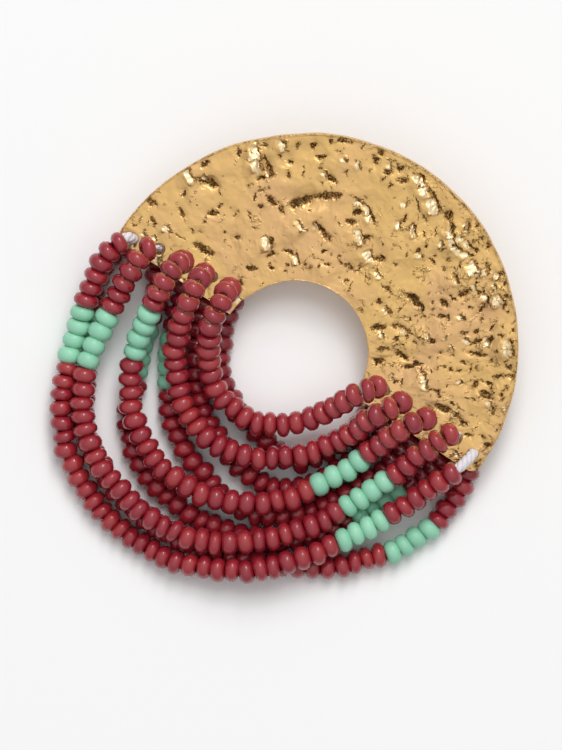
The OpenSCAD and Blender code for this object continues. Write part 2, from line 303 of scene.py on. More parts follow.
@dataclass(frozen=True)
class GoldFinish:
    """Hammered, polished gold plating: chips painted paler as a painted highlight, recesses
    darkened by patina and painted shade.
    """

    name: str = "hammered_gold"
    yellow: Colour = (0.795, 0.505, 0.19)
    rosy: Colour = (0.785, 0.475, 0.22)
    # Paler gold for the chips, a painted highlight that stands in for their reflection of the lamps
    painted_highlight_gold: Colour = (0.84, 0.66, 0.4)
    # Brown and near-black of the recesses: patina with painted shade
    brown_with_shade: Colour = (0.47, 0.285, 0.1)
    patina_with_shade: Colour = (0.15, 0.08, 0.028)
    roughness: float = 0.32
    chip_roughness: float = 0.42

    def material(self) -> Material:
        """Builds the node material, which reads the maps on the mesh.

        Returns:
            The material.
        """
        made = Recipe(self.name)
        shade_and_patina, busy, highlight_paint = (made.attribute(name) for name in MAPS)
        grain = made.noise(1700, detail=5, rough=0.72, bend=0.4)
        grit = made.noise(4200, detail=2, rough=0.6, bend=0.5)
        grain_swing, grit_swing = made.plus(grain, -0.5), made.plus(grit, -0.5)
        # Busy hammering has more specks
        crowd = made.plus(made.noise(1050, rough=0.55, bend=1.1), made.times(busy, 0.11))
        specks = made.ramp(crowd, 0.7, 0.76)
        # Patina and painted shade darken the recesses and the specks, with ragged edges
        ragged = made.plus(made.times(grain_swing, 1.5),
                           made.times(made.times(grit_swing, shade_and_patina), 3.4))
        darkening_with_shade = made.plus(made.plus(made.times(shade_and_patina, 0.8), ragged), made.times(specks, 0.45))
        # The chips are painted paler, as a painted highlight
        painted_shine = made.ramp(made.plus(highlight_paint, made.times(grit_swing, 0.9)), 0.42, 0.66)
        tint = made.ramp(made.noise(85, detail=2, bend=0.8), 0.4, 0.8)
        gold = made.mix(painted_shine, made.mix(tint, self.yellow, self.rosy), self.painted_highlight_gold)
        # Recesses are browned, partly by patina and partly by painted shade
        gold_browned_with_shade = made.mix(made.ramp(darkening_with_shade, 0.3, 0.6), gold, self.brown_with_shade)
        dullness = made.calc(darkening_with_shade, "MAXIMUM", painted_shine)
        # Hollows, the dimples in them, smears, the sunk specks, and the bottoms of the recesses
        bent = made.warped(260, 0.0034)
        normal = made.bump(
            (made.cells(330, bent), 0.0004, 0.75),
            (made.cells(760, bent), 0.00016, 0.6),
            (made.noise(900, rough=0.55, bend=0.6), 0.00008, 0.5),
            (made.times(specks, -1.0), 0.00012, 0.8),
            (made.times(grain, shade_and_patina), 0.0006, 0.9),
        )
        made.set(
            Base_Color=made.mix(made.ramp(darkening_with_shade, 0.48, 0.9), gold_browned_with_shade, self.patina_with_shade),
            Metallic=1.0,
            Roughness=made.ramp(dullness, 0.3, 0.9, (self.roughness, self.chip_roughness)),
            Normal=normal,
        )
        return made.material


@dataclass(frozen=True)
class GlassFinish:
    """Opaque seed-bead glass, between three shades of its colour."""

    name: str
    deep: Colour
    body: Colour
    warm: Colour
    roughness: float
    sheen: float

    def material(self) -> Material:
        """Builds the node material, which reads each bead's own tone.

        Returns:
            The material.
        """
        made = Recipe(self.name)
        cloud = made.noise(700, detail=2, bend=0.3)
        tone = made.plus(made.attribute("tone"), made.times(cloud, 0.3))
        cool = made.mix(made.ramp(tone, 0.1, 0.8), self.deep, self.body)
        made.set(
            Base_Color=made.mix(made.ramp(tone, 0.85, 1.25), cool, self.warm),
            Roughness=made.ramp(cloud, 0.3, 0.7, (self.roughness, self.roughness + 0.05)),
            IOR=1.5,
            Coat_Weight=self.sheen,
            Coat_Roughness=0.08,
            Specular_IOR_Level=0.42,
            Subsurface_Weight=0.06,
            Subsurface_Radius=(0.6, 0.25, 0.2),
            Subsurface_Scale=0.0006,
            Normal=made.bump((made.noise(1600, detail=2, bend=0.2), 0.00003, 0.3)),
        )
        return made.material


@dataclass(frozen=True)
class ThreadFinish:
    """White twisted nylon thread."""

    name: str = "white_thread"
    body: Colour = (0.8, 0.77, 0.8)
    fold: Colour = (0.7, 0.665, 0.71)

    def material(self) -> Material:
        """Builds the node material, with fine fibres.

        Returns:
            The material.
        """
        made = Recipe(self.name)
        fibres = made.noise(5200, rough=0.6, bend=0.8)
        made.set(
            Base_Color=made.mix(made.ramp(fibres, 0.35, 0.65), self.fold, self.body),
            Roughness=0.7,
            Subsurface_Weight=0.3,
            Subsurface_Radius=(1.0, 1.0, 1.0),
            Subsurface_Scale=0.0003,
            Specular_IOR_Level=0.2,
            Normal=made.bump((fibres, 0.00003, 0.3)),
        )
        return made.material


@dataclass(frozen=True)
class Mark:
    """One mark of the hammer: its place on the plate, size, turn and rise in millimetres."""

    along: float
    across: float
    length: float
    width: float
    turn: float
    rise: float

    def height(self, x: np.ndarray, y: np.ndarray) -> np.ndarray:
        """The mark's height over points of the plate, before it is scaled.

        Args:
            x: The points' places on the plate.
            y: The same, upwards.

        Returns:
            A height for each point.
        """
        along, across = turned(x - self.along, y - self.across, self.turn)
        far = (along / self.length) ** 2 + (across / self.width) ** 2
        return self.rise * np.clip(1 - far, 0, 1) ** 2


# Bold marks, as in the source
BOLD = tuple(Mark(*row) for row in (
    (-18.5, 16.5, 4.5, 1.8, 120, 0.3), (-24.5, 10, 3, 1.8, 120, 0.25),
    (-16.5, 20.5, 4, 2, 75, 0.3), (-9, 12.5, 5, 1.5, 75, 0.3), (-11.5, 8, 4, 1.8, 60, 0.25),
    (-23.5, 2.5, 3, 2, 100, 0.2), (2, 25, 5.5, 1.8, -35, 0.35), (8, 22.5, 5, 1.6, 120, 0.3),
    (17.5, 18.5, 5, 2.2, 100, 0.35), (22, 14, 5, 2.2, 110, 0.3), (14, 3.5, 2.6, 2.2, 0, 0.3),
    (-9, 16.5, 7, 1.7, 20, -0.35), (-16.5, 17, 3.5, 1.6, 80, -0.3),
    (-21.5, 11, 3.5, 1.4, 50, -0.3), (-3, 18.5, 4, 3.4, 0, -0.3), (0, 11.5, 4.5, 1.6, 60, -0.3),
    (-0.5, 26.5, 4.5, 1.4, 15, -0.3), (10.5, 5, 5, 1.5, 40, -0.35), (16.5, 17, 3, 1.4, 100, -0.3),
    (19.5, 2.5, 3, 1.5, 30, -0.25),
))


@dataclass(frozen=True)
class Dent:
    """A dent of the hammered face, placed over the plan.

    Places and sizes are in steps of the plan, rightwards and downwards from its upper left corner,
    and the turn of the long side is in degrees anticlockwise from +X.
    """

    col: float
    row: float
    length: float
    width: float
    turn: float = 0.0

    def local(self, col: np.ndarray, row: np.ndarray) -> tuple[np.ndarray, np.ndarray]:
        """Steps along the dent's long side and across it, rightwards."""
        along, left = turned(col - self.col, self.row - row, self.turn)
        return along, -left


class Pit(Dent):
    """A jagged hole with a flat bottom, painted dark with patina and painted shade."""

    # Width of the soft shoulders round the hole, and how steeply they rise
    shoulder: float = 2.5
    steepness: float = 0.8
    # Depths in millimetres of the hole and of its shoulders: the least one, what each step of
    # width adds, and the greatest one
    hole_depths: tuple[float, float, float] = (0.06, 0.05, 0.4)
    basin_depths: tuple[float, float, float] = (0.03, 0.018, 0.17)
    # Height over the rim that its shape is cut off from, so that the bottom is flat
    cut_off: float = 1.5

    def deep(self, depths: tuple[float, float, float]) -> float:
        """The depth for the hole's width, by the least, the added and the greatest one."""
        return min(depths[2], depths[0] + depths[1] * self.width)

    def opening(self, col: np.ndarray, row: np.ndarray) -> np.ndarray:
        """How much of the hole is open at each place, 0 to 1."""
        along, across = self.local(col, row)
        far = [(2 * along / self.length) ** 2, (2 * across / self.width) ** 2]
        return np.clip(self.cut_off - far[0] - far[1], 0, 1)

    def basin(self, col: np.ndarray, row: np.ndarray) -> np.ndarray:
        """How deep the shoulders lie at each place.

        Args:
            col: Places on the plan, rightwards.
            row: The same, downwards.

        Returns:
            Depths in millimetres.
        """
        along, across = self.local(col, row)
        far = ((along / (self.length / 2 + self.shoulder)) ** 2
               + (across / (self.width / 2 + self.shoulder)) ** 2)
        return self.deep(self.basin_depths) * np.exp(-self.steepness * far)


class Facet(Dent):
    """A chip: slopes down to the upper right that end at a steep wall, painted pale as a painted
    highlight and dark on the wall as painted shade.
    """

    # Fall of the slopes, and the way that they fall
    fall: float = 0.42
    towards: float = 60.0
    # Share of the slope that stands above the face
    above: float = 0.38
    # Length of one tooth of a long chip, in steps of the plan, and how far the teeth slant
    tooth: float = 12.0
    slant: float = 0.25
    # Widths of the gentle way up and of the steep wall: a fixed part, and a share of the chip's
    lead: Pair = (2, 1.1)
    wall: Pair = (1.8, 0.15)
    # Where its ends are gone, and over how much they fade, as shares of half its length
    end: float = 1.12
    fade: float = 0.3
    # The painted highlight is cut off from this height, so that it is full in the middle
    cut_off: float = 1.5

    def shape(self, col: np.ndarray,
              row: np.ndarray) -> tuple[np.ndarray, np.ndarray, np.ndarray]:
        """The chip's effect on the face.

        Args:
            col: Places on the plan, rightwards.
            row: The same, downwards.

        Returns:
            For each place its height in millimetres, and the painted shade of its wall and its
            painted highlight, 0 to 1.
        """
        along, across = self.local(col, row)
        half = self.width / 2
        off = math.radians(self.towards - self.turn)
        drop = -self.fall * math.sin(off) * self.width * STEP
        lean = self.fall * math.cos(off) * STEP
        lead, wall = (fixed + share * self.width for fixed, share in (self.lead, self.wall))
        rise = np.interp(across, [-half - lead, -half, half, half + wall],
                         [0, self.above * drop, (self.above - 1) * drop, 0])
        ends = np.clip((self.end - np.abs(2 * along / self.length)) / self.fade, 0, 1)
        # Teeth lean against each other along the chip
        teeth = max(1, round(self.length / self.tooth))
        pitch = self.length / teeth
        start = along + self.length / 2 + self.slant * across
        within = start - pitch * np.clip(np.floor(start / pitch), 0, teeth - 1) - pitch / 2
        near = np.clip((half + wall - np.abs(across)) / wall, 0, 1)
        height = ends * (rise - near * lean * np.clip(within, -pitch / 2, pitch / 2))
        # Painted shade on the wall, darkest at its foot
        dark = np.interp(across, [half - 0.4, half + 0.5, half + 0.8 * wall, half + wall + 0.6],
                         [0, 0.9, 0.6, 0])
        edge = np.abs(2 * along / self.length) ** 3 + np.abs(2 * across / self.width) ** 3
        return height, ends * dark, np.clip(self.cut_off - edge, 0, 1)


PITS = tuple(Pit(*row) for row in (
    (205.6, 163.7, 11, 5, 45), (239.3, 154, 9, 5, 110), (208.4, 182.6, 23, 8, 155),
    (220.3, 194, 6, 2, 100), (264.5, 146, 5, 3), (269.5, 168, 26, 4.5, 115), (260.3, 179, 10, 5),
    (313.6, 147.5, 7, 5, 60), (321.3, 158.8, 10, 5), (290.5, 163.7, 7, 3, 150),
    (280, 156.7, 6, 3, 120), (289, 176, 6, 4, 100), (302.4, 175, 7, 3, 90),
    (331, 180.5, 14, 6, 140), (325, 196.8, 32, 7, 6), (305, 201, 16, 6, 25),
    (295.4, 204.4, 16, 8, 20), (272.2, 201.6, 16, 7, 140), (254.7, 197.3, 8, 3, 60),
    (261.7, 193, 7, 3, 170), (261, 207, 5, 5), (281.3, 210.7, 8, 4, 110), (151.6, 203, 12, 6, 140),
    (153, 220.5, 13, 4, 110), (183.8, 194.5, 6, 4, 30), (182, 213, 12, 5, 120),
    (213.3, 213.5, 13, 6, 10), (220.3, 206.5, 5, 3), (234.4, 217, 3, 3), (236.5, 238.7, 7, 6),
    (203, 249.3, 22, 6, 145), (191.6, 231, 6, 3, 130), (180, 236, 16, 2, 150),
    (272.2, 242.3, 13, 5, 100), (270, 255, 9, 4, 40), (287.7, 252, 12, 4, 165),
    (297.8, 256.3, 14, 2.5, 100), (252, 269, 13, 5), (269.4, 267.5, 8, 4, 150),
    (285.6, 271.7, 4, 4), (305.2, 266.8, 4, 4), (322, 232, 26, 7, 127), (324, 252, 8, 5),
    (327, 264.7, 5, 4), (240, 283, 8, 5, 120), (134, 224, 6, 2, 160), (250.5, 214, 6, 2, 130),
    (254.7, 226.8, 5, 2, 160), (331.8, 143, 7, 4), (343, 141.3, 12, 4, 170), (349.7, 144.4, 6, 4),
    (318.6, 170, 5, 3, 150), (365.5, 144.4, 8, 2, 60), (380.3, 154, 8, 6, 130),
    (374, 161.7, 10, 6, 100), (388, 174, 12, 5, 170), (383, 180, 7, 3, 45), (389, 186.2, 9, 3, 80),
    (398, 170, 5, 4), (357.3, 199.5, 12, 2.5, 160), (367.6, 207.7, 12, 2.5, 130),
    (373.2, 218.9, 20, 3.5, 100), (350, 223, 12, 7, 170), (355, 213.8, 8, 4),
    (365.8, 238.3, 11, 6, 170), (379.8, 259.7, 12, 8, 150), (347, 265.8, 26, 3.5, 145),
    (366.5, 278.6, 9, 3, 150), (338.5, 256.6, 6, 3), (325.7, 264, 4, 4), (362.4, 266.3, 5, 2, 150),
    (340, 277.6, 4, 2, 130), (391.2, 162.4, 12, 2, 165), (399.4, 169.6, 9, 4, 135),
    (401.4, 181.8, 8, 5, 150), (419, 177.8, 13, 2.5, 160), (434, 199, 32, 3, 115),
    (418, 208, 22, 2, 110), (445.3, 186, 6, 2, 140), (453.5, 196.5, 8, 3, 130),
    (464.7, 207.3, 9, 4, 135), (447.3, 218, 15, 9, 120), (451, 228, 10, 5, 100),
    (404, 218.6, 8, 4, 60), (414.8, 231.5, 15, 2, 112), (423.9, 234.9, 8, 2.5, 110),
    (435.6, 232, 10, 2.5, 95), (451.8, 234, 9, 4, 125), (458, 248, 12, 2, 125),
    (468.8, 226.7, 6, 4), (476, 224.7, 9, 5, 120), (479, 238, 10, 2.5, 120), (487, 247, 7, 6),
    (470, 246, 9, 4, 120), (474, 252, 6, 5), (469.8, 257.3, 5, 3), (417.8, 251.2, 7, 5),
    (425.4, 246, 4, 4), (421.8, 260.4, 5, 2, 120), (431, 262.4, 8, 4, 150), (434, 257.3, 4, 3),
    (443.3, 269, 7, 3, 150), (446.3, 260.4, 5, 3), (458.6, 266.5, 6, 3, 130),
    (485, 265.5, 6, 4, 120), (487.5, 270.6, 8, 3, 80), (475.4, 280.8, 12, 2, 75),
    (476, 291, 10, 3, 130), (480.5, 292.5, 8, 3, 150), (499.6, 273.7, 6, 4), (504.5, 284, 5, 5),
    (455.5, 277.8, 7, 3, 120), (412.6, 297, 14, 7, 150), (441, 292.5, 3, 3), (451, 296, 4, 4),
    (462.7, 294, 12, 7, 20), (386, 288, 14, 3, 140), (424, 219.6, 8, 3, 130),
    (416, 303, 14, 6, 150), (421.6, 308.7, 9, 3, 80), (378, 301.7, 7, 5),
    (387.4, 310.6, 12, 3, 115), (443.3, 304, 10, 5, 150), (431.8, 302.3, 3, 3),
    (442, 316, 14, 5, 170), (452, 300, 4, 4), (379.5, 327.8, 17, 6, 5), (405, 331, 16, 4, 150),
    (394.8, 326, 7, 5), (414, 342.5, 5, 3, 100), (431.4, 340, 7, 5, 150), (383, 348.6, 14, 4, 170),
    (400, 355, 18, 6, 150), (408, 366, 14, 5, 10), (417.5, 364, 12, 4), (378.3, 361, 13, 5, 165),
    (433, 391, 14, 3, 155), (438, 393.5, 7, 4, 120), (402.5, 382, 10, 3, 80), (394.8, 381.4, 7, 2),
    (421.6, 374.4, 8, 2, 130), (468.8, 308, 4, 4), (480, 309, 12, 4, 45), (487, 301.7, 12, 3, 85),
    (502.3, 304, 14, 3, 95), (505.8, 296.6, 8, 4, 150), (480.3, 319.5, 7, 3, 40),
    (490.5, 328.5, 9, 3, 60), (511, 330, 4, 4), (475, 331, 9, 5), (463.7, 332.3, 8, 4, 10),
    (475, 342.5, 12, 4, 20), (490.6, 338.7, 8, 4, 60), (477, 354, 20, 5, 170),
    (511, 346.3, 16, 3, 100), (500.7, 336, 4, 4), (451.6, 355.3, 6, 4), (440.8, 354, 3, 3),
    (462.4, 362.3, 7, 3, 150), (449.7, 369.3, 5, 5), (459.3, 370.6, 5, 3), (431.8, 371.8, 5, 2),
    (470, 368, 10, 3, 60), (490.5, 361.6, 6, 3, 60), (508.4, 366.7, 8, 3, 170),
    (497, 375.7, 12, 4, 20), (511, 377, 7, 4), (474, 386, 9, 6, 60), (503.3, 389.7, 6, 2, 20),
    (486.7, 384.6, 4, 4), (485.4, 394.8, 13, 7, 150), (500, 396.3, 5, 5),
    (473.7, 399, 9, 2.5, 150), (452.2, 402.4, 3, 3), (491.8, 407.6, 9, 4, 120),
    (442, 408.8, 18, 8, 170), (457.3, 416.5, 10, 5, 140), (462.4, 423, 10, 4, 160),
    (467.6, 434.3, 8, 4, 150), (483, 436.3, 7, 4, 150), (486.7, 444.5, 8, 4, 160),
    (476.5, 463.7, 8, 3, 30), (409.5, 319.5, 3, 3), (447, 386, 3, 3),
))

FACETS = tuple(Facet(*row) for row in (
    (130.3, 246.5, 6, 5, 112), (153.3, 238.4, 7, 4, 112), (156.6, 261.5, 7, 4, 82),
    (160.6, 257, 6, 3.5, 80), (180.8, 279.5, 7, 4, 75), (237.6, 301.2, 6, 5, 125),
    (142, 235.3, 5, 3, 100), (254.7, 161, 26, 9, 99), (255.6, 144.7, 10, 4, 100),
    (282.3, 147.5, 14, 5, 106), (189.7, 176.3, 17, 6, 116), (267.3, 173.5, 11, 4, 95),
    (324, 176, 8, 4, 145), (300.3, 227.5, 16, 4, 126), (315, 228, 9, 4, 110),
    (266, 245, 14, 7, 108), (295, 260, 12, 4, 97), (166.3, 230.3, 6, 4.5, 110),
    (204.2, 179, 6, 4, 120), (357.3, 206.6, 10, 7, 140), (367.5, 217, 19, 6, 111),
    (358.4, 238.3, 17, 7, 105), (367.6, 257.7, 12, 8, 118), (376.7, 275, 10, 5, 125),
    (356.8, 167.3, 6, 4, 95), (372.7, 147, 6, 4, 110), (388, 168, 7, 4, 110),
    (342.5, 161, 5, 4, 110), (421, 189, 22, 8, 116), (431, 208, 17, 9, 110), (415, 179, 9, 6, 135),
    (402.7, 205.3, 6, 5, 95), (398.2, 227, 11, 4, 94), (411.6, 231.8, 14, 5, 111),
    (449.4, 240, 23, 6, 106), (455.5, 251, 11, 6, 126), (439.2, 245, 7, 5, 120),
    (465.2, 228.8, 10, 5, 97), (458.6, 240, 6, 4, 120), (464.7, 246, 9, 5, 112),
    (463, 257, 7, 6, 120), (471.3, 269.6, 14, 9, 112), (482, 272.7, 10, 6, 102),
    (494.8, 276.7, 9, 6, 90), (455.5, 283.4, 6, 4, 112), (418.3, 257.3, 6, 4, 90),
    (493.3, 288, 6, 4, 110), (496.3, 301.7, 12, 9, 116), (483, 299, 8, 5, 110),
    (379.5, 334.8, 9, 4, 102), (384, 310, 8, 4, 118), (402, 332.3, 7, 4, 120),
    (428, 337.4, 8, 4, 120), (459.3, 317, 7, 4, 118), (465.6, 342, 8, 5, 140),
    (484.8, 343, 9, 6, 92), (506.5, 349, 18, 9, 92), (423, 382, 18, 4, 97),
    (505.8, 377, 5, 4, 110), (458, 382, 5, 3, 110), (452.2, 414, 7, 4, 112),
    (488, 404.4, 6, 4, 110), (504, 409.5, 5, 4, 100), (455.4, 454.7, 8, 3, 140),
    (444.6, 338, 5, 3, 100), (449.7, 349, 6, 3, 104), (470.8, 288, 5, 3, 110),
))


@dataclass
class Plate:
    """The hammered C with its thread holes, rim and ear post, in millimetres and degrees."""

    disc_r: float = 28.0
    window_r: float = 9.3
    thickness: float = 1.2
    # Height of the broad hammering, and how much of it the back has
    relief: float = 0.28
    back_relief: float = 0.3
    tilt: float = 12.5
    turn: float = -33.4
    at: Point = (2.9, 2.0, 4.35)
    window_at: Pair = (-0.4, -1.3)
    cut_at: float = -2.1
    tip_r: float = 1.4
    # Where the hammered outline leaves the circle: degrees round the disc, and how far outwards
    outline: tuple[Pair, ...] = (
        (0, -0.2), (42, -0.2), (55, -0.1), (70, 0.05), (90, 0), (104, -0.16), (118, -0.2),
        (126, -0.42), (134, -0.52), (142, -0.34), (158, -0.3), (168, -0.05), (180, 0.2))
    # The same for the window's edge
    window_edge: tuple[Pair, ...] = ((-6, 0), (150, 0), (163, 0.15), (172, 0.42), (186, 0.6))
    # Chatter of the hammer along the outline: height, waves in a radian and its own place
    chatter: tuple[tuple[float, float, Pair], ...] = ((0.07, 9, (4.0, 1.0)), (0.04, 31, (7.0, 2.0)))
    hole_d: float = 1.6
    left_holes: tuple[Pair, ...] = (
        (-26.2, -0.8), (-22.6, 0), (-18.8, 0.5), (-14.9, 0.8), (-11.6, 1.2))
    right_holes: tuple[Pair, ...] = ((26, 0.1), (23.1, 0.8), (19.2, 0.8), (15.1, 1.2), (11.8, 0.8))
    # Grid points along and across the front, and how much coarser the back is
    steps_along: int = 656
    steps_across: int = 124
    back_share: int = 4
    # The rounded rim: its width, the length and breadth of the C that it is a share of, and how
    # far its rows of points sink and how dark they are, from the edge inwards
    rim: float = 0.15
    arc_length: float = 88.0
    arm_breadth: float = 19.0
    rim_sink: tuple[float, ...] = (0.15, 0.08, 0.03)
    rim_dark: tuple[float, ...] = (0.6, 0.5, 0.35)
    # How busy the hammering is: in the middle, more for each step rightwards, and in patches
    busy: tuple[float, float, float] = (0.34, 0.021, 0.7)
    # Small creases and pits between the marks: their spacing, width and depths
    crease_pitch: float = 1.9
    crease_width: float = 0.17
    crease_depth: float = 0.12
    pit_depth: float = 0.16
    # How much noise there has to be for one, how much less where it is busy, and the slope
    crease_least: tuple[float, float, float] = (0.44, 0.5, 0.2)
    pit_least: tuple[float, float, float] = (0.5, 0.17, 0.12)
    # Height of the fine grain on the face, and how much more a pit's bottom has
    grain: Pair = (0.02, 0.14)
    # Depth of a crease or small pit that is painted wholly dark, with patina and painted shade
    dark_at: float = 0.2
    post_r: float = 0.45
    post_at: float = 23.5
    sharp_angle: float = 38.0
    seed: int = 5
    finish: GoldFinish = field(default_factory=GoldFinish)

    def lying(self) -> Matrix:
        """Turns millimetres on the plate into metres where it lies.

        Returns:
            The matrix.
        """
        place = Matrix.Translation((CENTRING + Vector(self.at)) * MM)
        turn = Matrix.Rotation(math.radians(self.turn), 4, "Z")
        lean = Matrix.Rotation(math.radians(self.tilt), 4, "X")
        return place @ turn @ lean @ Matrix.Scale(MM, 4)

    def on_arc(self, t: float, s: float) -> Pair:
        """A point of the C, as in the source.

        Args:
            t: Along it, from the right tip to the left one.
            s: Across it, from the window outwards.

        Returns:
            Its place on the plate.
        """
        outer_end = math.asin(self.cut_at / self.disc_r)
        window_end = math.asin((self.cut_at - self.window_at[1]) / self.window_r)
        arm = (self.disc_r * math.cos(outer_end) - self.window_r * math.cos(window_end)
               - abs(self.window_at[0]))
        length = (math.pi - 2 * outer_end) * self.disc_r
        # Near the outer edge the arms' ends draw back in a quarter circle
        into = max(0.0, s - (1 - self.tip_r / arm)) * arm / self.tip_r
        held = self.tip_r * (1 - math.sqrt(max(0.0, 1 - into * into))) / length
        along = held + (1 - 2 * held) * t
        a = outer_end + (math.pi - 2 * outer_end) * along
        b = window_end + (math.pi - 2 * window_end) * along
        ripple = sum(high * noise.noise(Vector((often * a, *own)))
                     for high, often, own in self.chatter)
        outer_r = self.disc_r + float(np.interp(math.degrees(a), *zip(*self.outline))) + ripple
        inner_r = self.window_r + float(np.interp(math.degrees(b), *zip(*self.window_edge)))
        outer = (outer_r * math.cos(a), outer_r * math.sin(a))
        inner = (self.window_at[0] + inner_r * math.cos(b),
                 self.window_at[1] + inner_r * math.sin(b))
        return (s * outer[0] + (1 - s) * inner[0], s * outer[1] + (1 - s) * inner[1])

    @staticmethod
    def spread(steps: int, edge: float) -> list[float]:
        """Positions that crowd into a narrow strip at both ends, for the rounded rim.

        Args:
            steps: How many steps they make.
            edge: The strip's share of the whole.

        Returns:
            The positions, from 0 to 1.
        """
        strip = [0.0, 0.12 * edge, 0.4 * edge, edge]
        inside = steps - 2 * len(strip) + 2
        middle = [edge + (1 - 2 * edge) * k / inside for k in range(1, inside)]
        return strip + middle + [1 - v for v in reversed(strip)]

    def swell(self, x: np.ndarray, y: np.ndarray) -> np.ndarray:
        """The broad hammering and the bold marks, as in the source.

        Args:
            x: Points of the plate, rightwards.
            y: The same, upwards.

        Returns:
            How far each point rises.
        """
        broad = (0.45 * wave(38 * x + 21 * y + 50 * wave(14 * y))
                 + 0.35 * wave(-27 * x + 46 * y + 60 * wave(17 * x))
                 + 0.3 * wave(61 * x - 33 * y + 40 * wave(25 * y)))
        bold = sum(mark.height(x, y) for mark in BOLD)
        # The metal is calmer by the thread holes
        share = np.interp(y, [2, 9], [0.35, 1])
        return self.relief * share * ((0.75 + 0.25 * wave(3 * x)) * broad + 2.4 * bold)

    def crackle(self, x: float, y: float) -> Pair:
        """The small creases and pits at a point.

        Args:
            x: Its place on the plate.
            y: The same, upwards.

        Returns:
            Their depth, and how busy the hammering is there, 0 to 1.
        """
        p = Vector((x, y, 0.0))
        bent = p + 0.7 * noise.noise_vector(p * 0.6) + 0.3 * noise.noise_vector(p * 2.1)
        middle, rightwards, patchy = self.busy
        patch = noise.noise(p * 0.16 + Vector((3, 1, 0)))
        busy = limit(middle + rightwards * x + patchy * patch)
        # Creases run where two cells meet, and noise keeps some of them
        near = noise.voronoi(bent / self.crease_pitch)[0]
        edge = max(0.0, 1 - (near[1] - near[0]) / self.crease_width)
        keep = noise.noise(p * 0.45 + Vector((13, 2, 5)))
        least, less, slope = self.crease_least
        depth = self.crease_depth * edge * limit((keep - least + less * busy) / slope)
        pit = noise.noise(bent * 1.25 + Vector((9, 4, 1)))
        least, less, slope = self.pit_least
        return depth + self.pit_depth * limit((pit - least + less * busy) / slope), busy

    def heights(self, x: np.ndarray, y: np.ndarray) -> tuple[np.ndarray, dict[str, np.ndarray]]:
        """The front face over points of the plate.

        Args:
            x: The points' places on the plate.
            y: The same, upwards.

        Returns:
            Its height, and the three maps.
        """
        lying = self.lying()
        plan = [lying @ Vector((a, b, self.thickness)) for a, b in zip(x, y)]
        # Noise in two sizes frays the dents' edges
        frays = [noise.noise_vector(p * 900) * 2.6 + noise.noise_vector(p * 2900) * 1.7
                 for p in plan]
        col = np.array([(p.x / MM - CORNER[0]) / STEP + fray.x for p, fray in zip(plan, frays)])
        row = np.array([(CORNER[1] - p.y / MM) / STEP + fray.y for p, fray in zip(plan, frays)])
        small, busy = np.array([self.crackle(a, b) for a, b in zip(x, y)]).T
        grain = np.array([noise.fractal(Vector((a, b, 2.0)) * 1.5, 0.6, 2.0, 3)
                          for a, b in zip(x, y)])
        holes, sunk, basins, chips, wall_shade, painted_bright = np.zeros((6, len(x)))
        for pit in PITS:
            here = pit.opening(col, row)
            holes = np.maximum(holes, here)
            sunk = np.maximum(sunk, here * pit.deep(pit.hole_depths))
            basins = np.maximum(basins, pit.basin(col, row))
        # Each chip raises the face, paints shade on its wall and paints its slopes pale as a
        # highlight
        for facet in FACETS:
            rise, dark, painted_shine = facet.shape(col, row)
            chips += rise
            wall_shade, painted_bright = np.maximum(wall_shade, dark), np.maximum(painted_bright, painted_shine)
        front = (self.thickness + self.swell(x, y) + chips - sunk - basins - small
                 + (self.grain[0] + self.grain[1] * holes) * grain)
        # Pits and small creases are darkened by patina and painted shade, the chips' walls by
        # painted shade alone; none where chips are painted pale
        shade_and_patina = np.maximum(np.maximum(holes * (1 - painted_bright), wall_shade), small / self.dark_at)
        return front, dict(zip(MAPS, (np.clip(shade_and_patina, 0, 1), busy, painted_bright)))

    def face(self, bm: BMesh, is_front: bool) -> None:
        """Adds one face of the C: a grid bent to the outline and raised by the hammering.

        Args:
            bm: The mesh that it joins.
            is_front: Whether it is the finely hammered front, or the plain back.
        """
        share = 1 if is_front else self.back_share
        nt, ns = self.steps_along // share, self.steps_across // share
        along = self.spread(nt + 1, self.rim / self.arc_length)
        across = self.spread(ns + 1, self.rim / self.arm_breadth)
        verts = bmesh.ops.create_grid(bm, x_segments=nt, y_segments=ns, size=0.5)["verts"]
        cells = [(round((v.co.x + 0.5) * nt), round((v.co.y + 0.5) * ns)) for v in verts]
        flat = [self.on_arc(along[i], across[j]) for i, j in cells]
        x, y = (np.array(values) for values in zip(*flat))
        for v, (px, py), rise in zip(verts, flat, self.swell(x, y)):
            v.co = (px, py, self.thickness + rise if is_front else self.back_relief * rise)
        if is_front:
            level, maps = self.heights(x, y)
            layers = {name: bm.verts.layers.float[name] for name in MAPS}
            for k, (v, (i, j)) in enumerate(zip(verts, cells)):
                edge = min(i, nt - i, j, ns - j)
                # The fine hammering fades out towards the rim
                calm = min(1.0, max(0, edge - 1) / 3)
                sink, dark = (row[edge] if edge < len(row) else 0.0
                              for row in (self.rim_sink, self.rim_dark))
                v.co.z += calm * (level[k] - v.co.z) - sink
                for name, values in maps.items():
                    v[layers[name]] = float((1.0 if name == "busy" else calm) * values[k])
                # The rim rows are painted darker too
                v[layers["shade_and_patina"]] += dark

    def sheet(self) -> BMesh:
        """The C as a solid: its front and its back, joined round the rim.

        Returns:
            The mesh.
        """
        bm = bmesh.new()
        for name in MAPS:
            bm.verts.layers.float.new(name)
        self.face(bm, True)
        self.face(bm, False)
        bmesh.ops.bridge_loops(bm, edges=[e for e in bm.edges if e.is_boundary])
        bmesh.ops.triangulate(bm, faces=[f for f in bm.faces if len(f.verts) > 4])
        bmesh.ops.recalc_face_normals(bm, faces=bm.faces)
        return bm

